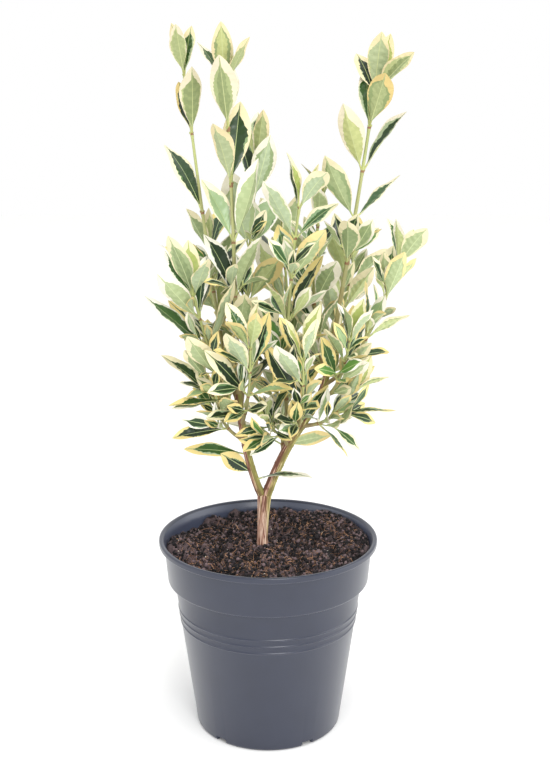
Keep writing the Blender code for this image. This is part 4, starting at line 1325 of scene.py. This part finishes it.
def leaf_picks(plant, rng, ring_count):
    """Material numbers of a leaf's faces, from its age, its height and some draws.

    The underside is faintly streaked along its side veins. Golden margins are commonest low down,
    where leaves are old. High up, all colours are darker and yellower: painted shade that tempers the
    strong light on the top of the crown.
    """
    height = "high_" if plant.leaf.root[2] > HIGH_ABOVE else ""

    def pick(label, chances=None):
        return rng.choice(numbers[height + label], p=chances)

    golden = np.clip((GOLD_BELOW - plant.leaf.root[2]) / GOLD_DEPTH, *GOLD_SHARES)
    tint = rng.choice(3, p=((1 - golden) / 2, (1 - golden) / 2, golden))
    core, zone, vein = pick("core", CORE_CHANCES), pick("zone"), pick("vein")
    kind = rng.integers(len(UNDER_CORES))
    under, streak = (numbers[height + label][kind] for label in ("under_core", "under_streak"))
    top = mirrored(numbers[height + "margin"][tint], zone, core, vein)
    below = mirrored(numbers[height + "under_margin"][tint], pick("under_zone"), under, pick("under_vein"))
    if plant.age == YOUNG:
        core, zone = pick("young_core"), pick("young_core")
        top = mirrored(pick("young_margin"), zone, core, core)
    blade = np.tile(top + below, (ring_count, 1))
    place = np.arange(ring_count)[:, None] / ring_count
    slant = QUILT_SLANT * np.abs(np.arange(COLUMNS) % (COLUMNS // 2) - COLUMNS // 4) / (COLUMNS // 4)
    streaked = (VEIN_PAIRS * place - slant + rng.uniform()) % 1 < STREAK_PART
    blade[streaked & (blade == under)] = streak
    stalk = numbers[height + "stalk"][0]
    body = np.vstack([np.full((len(STALK_STEPS), COLUMNS), stalk), blade])
    return np.concatenate([np.repeat(body[:-1].ravel(), 2), body[-1], [stalk]])


def leaf_piece(name, plants, owners, seed, ring_count=BLADE_RINGS):
    """All leaves of one shoot, or of some, as one mesh."""
    rng = np.random.default_rng(seed)
    faces = leaf_faces(ring_count)
    margins = [LOW_MARGIN_PARTS if plant.leaf.root[2] < LOW_DOWN else MARGIN_PARTS for plant in plants]
    parts = [
        (leaf_shell(plant.leaf, rng, rng.uniform(*margin), ring_count), faces)
        for plant, margin in zip(plants, margins)
    ]
    picks = np.concatenate([leaf_picks(plant, rng, ring_count) for plant in plants])
    piece = surface(name, *joined(parts), leaf_finishes, picks, CREASE_ANGLE)
    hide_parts(*owners)
    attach(piece, "root")


low_plants = [plant for plant in grown if plant.owner in LOW_LEAVES]
for number, shoot_name in enumerate(SHOOTS, 1):
    plants = [plant for plant in grown if plant.owner == shoot_name]
    leaf_piece("leaves_of_" + shoot_name, plants, [shoot_name], BLADE_SEED + number)
leaf_piece("low_leaves", low_plants, list(LOW_LEAVES), BLADE_SEED)

# Buds and side twigs. A small pointed bud of green and tan scales sits in the angle of each leaf. Low
# in the crown some have grown into a short green twig with a pair or two of small leaves.
BUD_SIZE = (0.85, 0.85, 1.7)
BUD_SCALES = (0.8, 1.2)
BUD_STAND = 1.5
BUD_LEAN = 0.5
BUD_SIDES = ((0, 90), (180, 270))
BUD_COLOURS = ("A9B06A", "8F7A50")
BUD_ROUGHNESS = 0.5
TWIGS_BELOW = 420.0
TWIGS_TO = 0.95
TWIG_LEAVES_LEAST = 2
TWIG_LENGTHS = (7.0, 14.0)
TWIG_BEND = (0.5, 0.3)
TWIG_PAIRS = ((0.6, (0, 180)), (1.0, (90, 270)))
TWIG_RADIUS = 0.55
TWIG_TAPER = (1.2, 0.5)
TWIG_SIDES = 8
TWIG_SPREAD = (25.0, 45.0)
TWIG_LEAF_LENGTHS = (16.0, 31.0)
TWIG_LEAF_SPREADS = (18.0, 50.0)
TWIG_TURNS = (40.0, 130.0)
TWIG_STEPS = 8
TWIG_BLADE_RINGS = 12
TWIG_AGE = 0.5
TWIG_LEAF_SEED = 36
TWIG_SEED = 51


def aligned(direction):
    """A rotation matrix whose third column is the direction."""
    across = unit(np.cross(direction, (0.0, 1.0, 0.1)))
    return np.stack([across, np.cross(direction, across), direction], -1)


def twig_at(shoot, at, turn, rng):
    """A short twig from a stem: its line and the tries of its leaves, a pair midway and one at its tip."""
    stem = stem_line(shoot)
    root, heading = curve_point(stem, at), curve_heading(stem, at)
    outward = outward_at(heading, turn)
    spread = math.radians(rng.uniform(*TWIG_SPREAD))
    ahead = math.cos(spread) * heading + math.sin(spread) * outward
    length = rng.uniform(*TWIG_LENGTHS)
    middle, upturn = TWIG_BEND
    line = (root, root + ahead * length * middle, root + ahead * length + heading * length * upturn)
    leaves = []
    for place, halves in TWIG_PAIRS:
        for half in halves:
            angles = half + rng.uniform(*TWIG_TURNS), rng.uniform(*TWIG_LEAF_SPREADS)
            leaves.append(tries_at(line, place, *angles, rng.uniform(*TWIG_LEAF_LENGTHS), WIDTH_PART, rng))
    return line, leaves


twig_rng = random.Random(TWIG_SEED)
bud_places, bud_turns, twig_rods, twig_leaves = [], [], [], []
twig_steps = np.linspace(0, 1, TWIG_STEPS)
twig_radii = TWIG_RADIUS * (TWIG_TAPER[0] - TWIG_TAPER[1] * twig_steps[:, None])
for shoot_name, shoot in SHOOTS.items():
    stem = stem_line(shoot)
    for at in pair_places(shoot):
        root, heading = curve_point(stem, at), curve_heading(stem, at)
        for turn in [twig_rng.uniform(*side) for side in BUD_SIDES]:
            outward = outward_at(heading, turn)
            line, tries = twig_at(shoot, at, turn, twig_rng)
            found = [first_clear(leaf_tries, shoot_name, placed) for leaf_tries in tries]
            kept = [leaf for leaf in found if leaf]
            if at < TWIGS_TO and root[2] < TWIGS_BELOW and len(kept) >= TWIG_LEAVES_LEAST:
                twig_rods.append(rod(line, twig_steps, twig_radii, TWIG_SIDES, TIP_DOME))
                twig_leaves += [Grown(leaf, shoot_name, TWIG_AGE) for leaf in kept]
                placed += [(shoot_name, leaf_tree(leaf)) for leaf in kept]
            else:
                skin = outward * shoot.radius * (1 - STEM_TAPER * at)
                bud_places.append(root + skin + heading * BUD_STAND)
                bud_turns.append(aligned(unit(heading + BUD_LEAN * outward)))
bud_rng = np.random.default_rng(TWIG_SEED)
# Dry, slightly glossy scales.
bud_scales = finishes("bud_scale", BUD_COLOURS, BUD_ROUGHNESS)
buds = strewn(
    "buds",
    ball(),
    np.array(bud_places),
    bud_rng.uniform(*BUD_SCALES, (len(bud_places), 1)) * np.array(BUD_SIZE),
    np.array(bud_turns),
    bud_scales,
    bud_rng,
)
twigs = surface("side_twigs", *joined(twig_rods), [stem_barks[-2]])
for piece in (buds, twigs):
    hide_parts(*SHOOTS)
    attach(piece, "root")
leaf_piece("twig_leaves", twig_leaves, list(SHOOTS), TWIG_LEAF_SEED, TWIG_BLADE_RINGS)
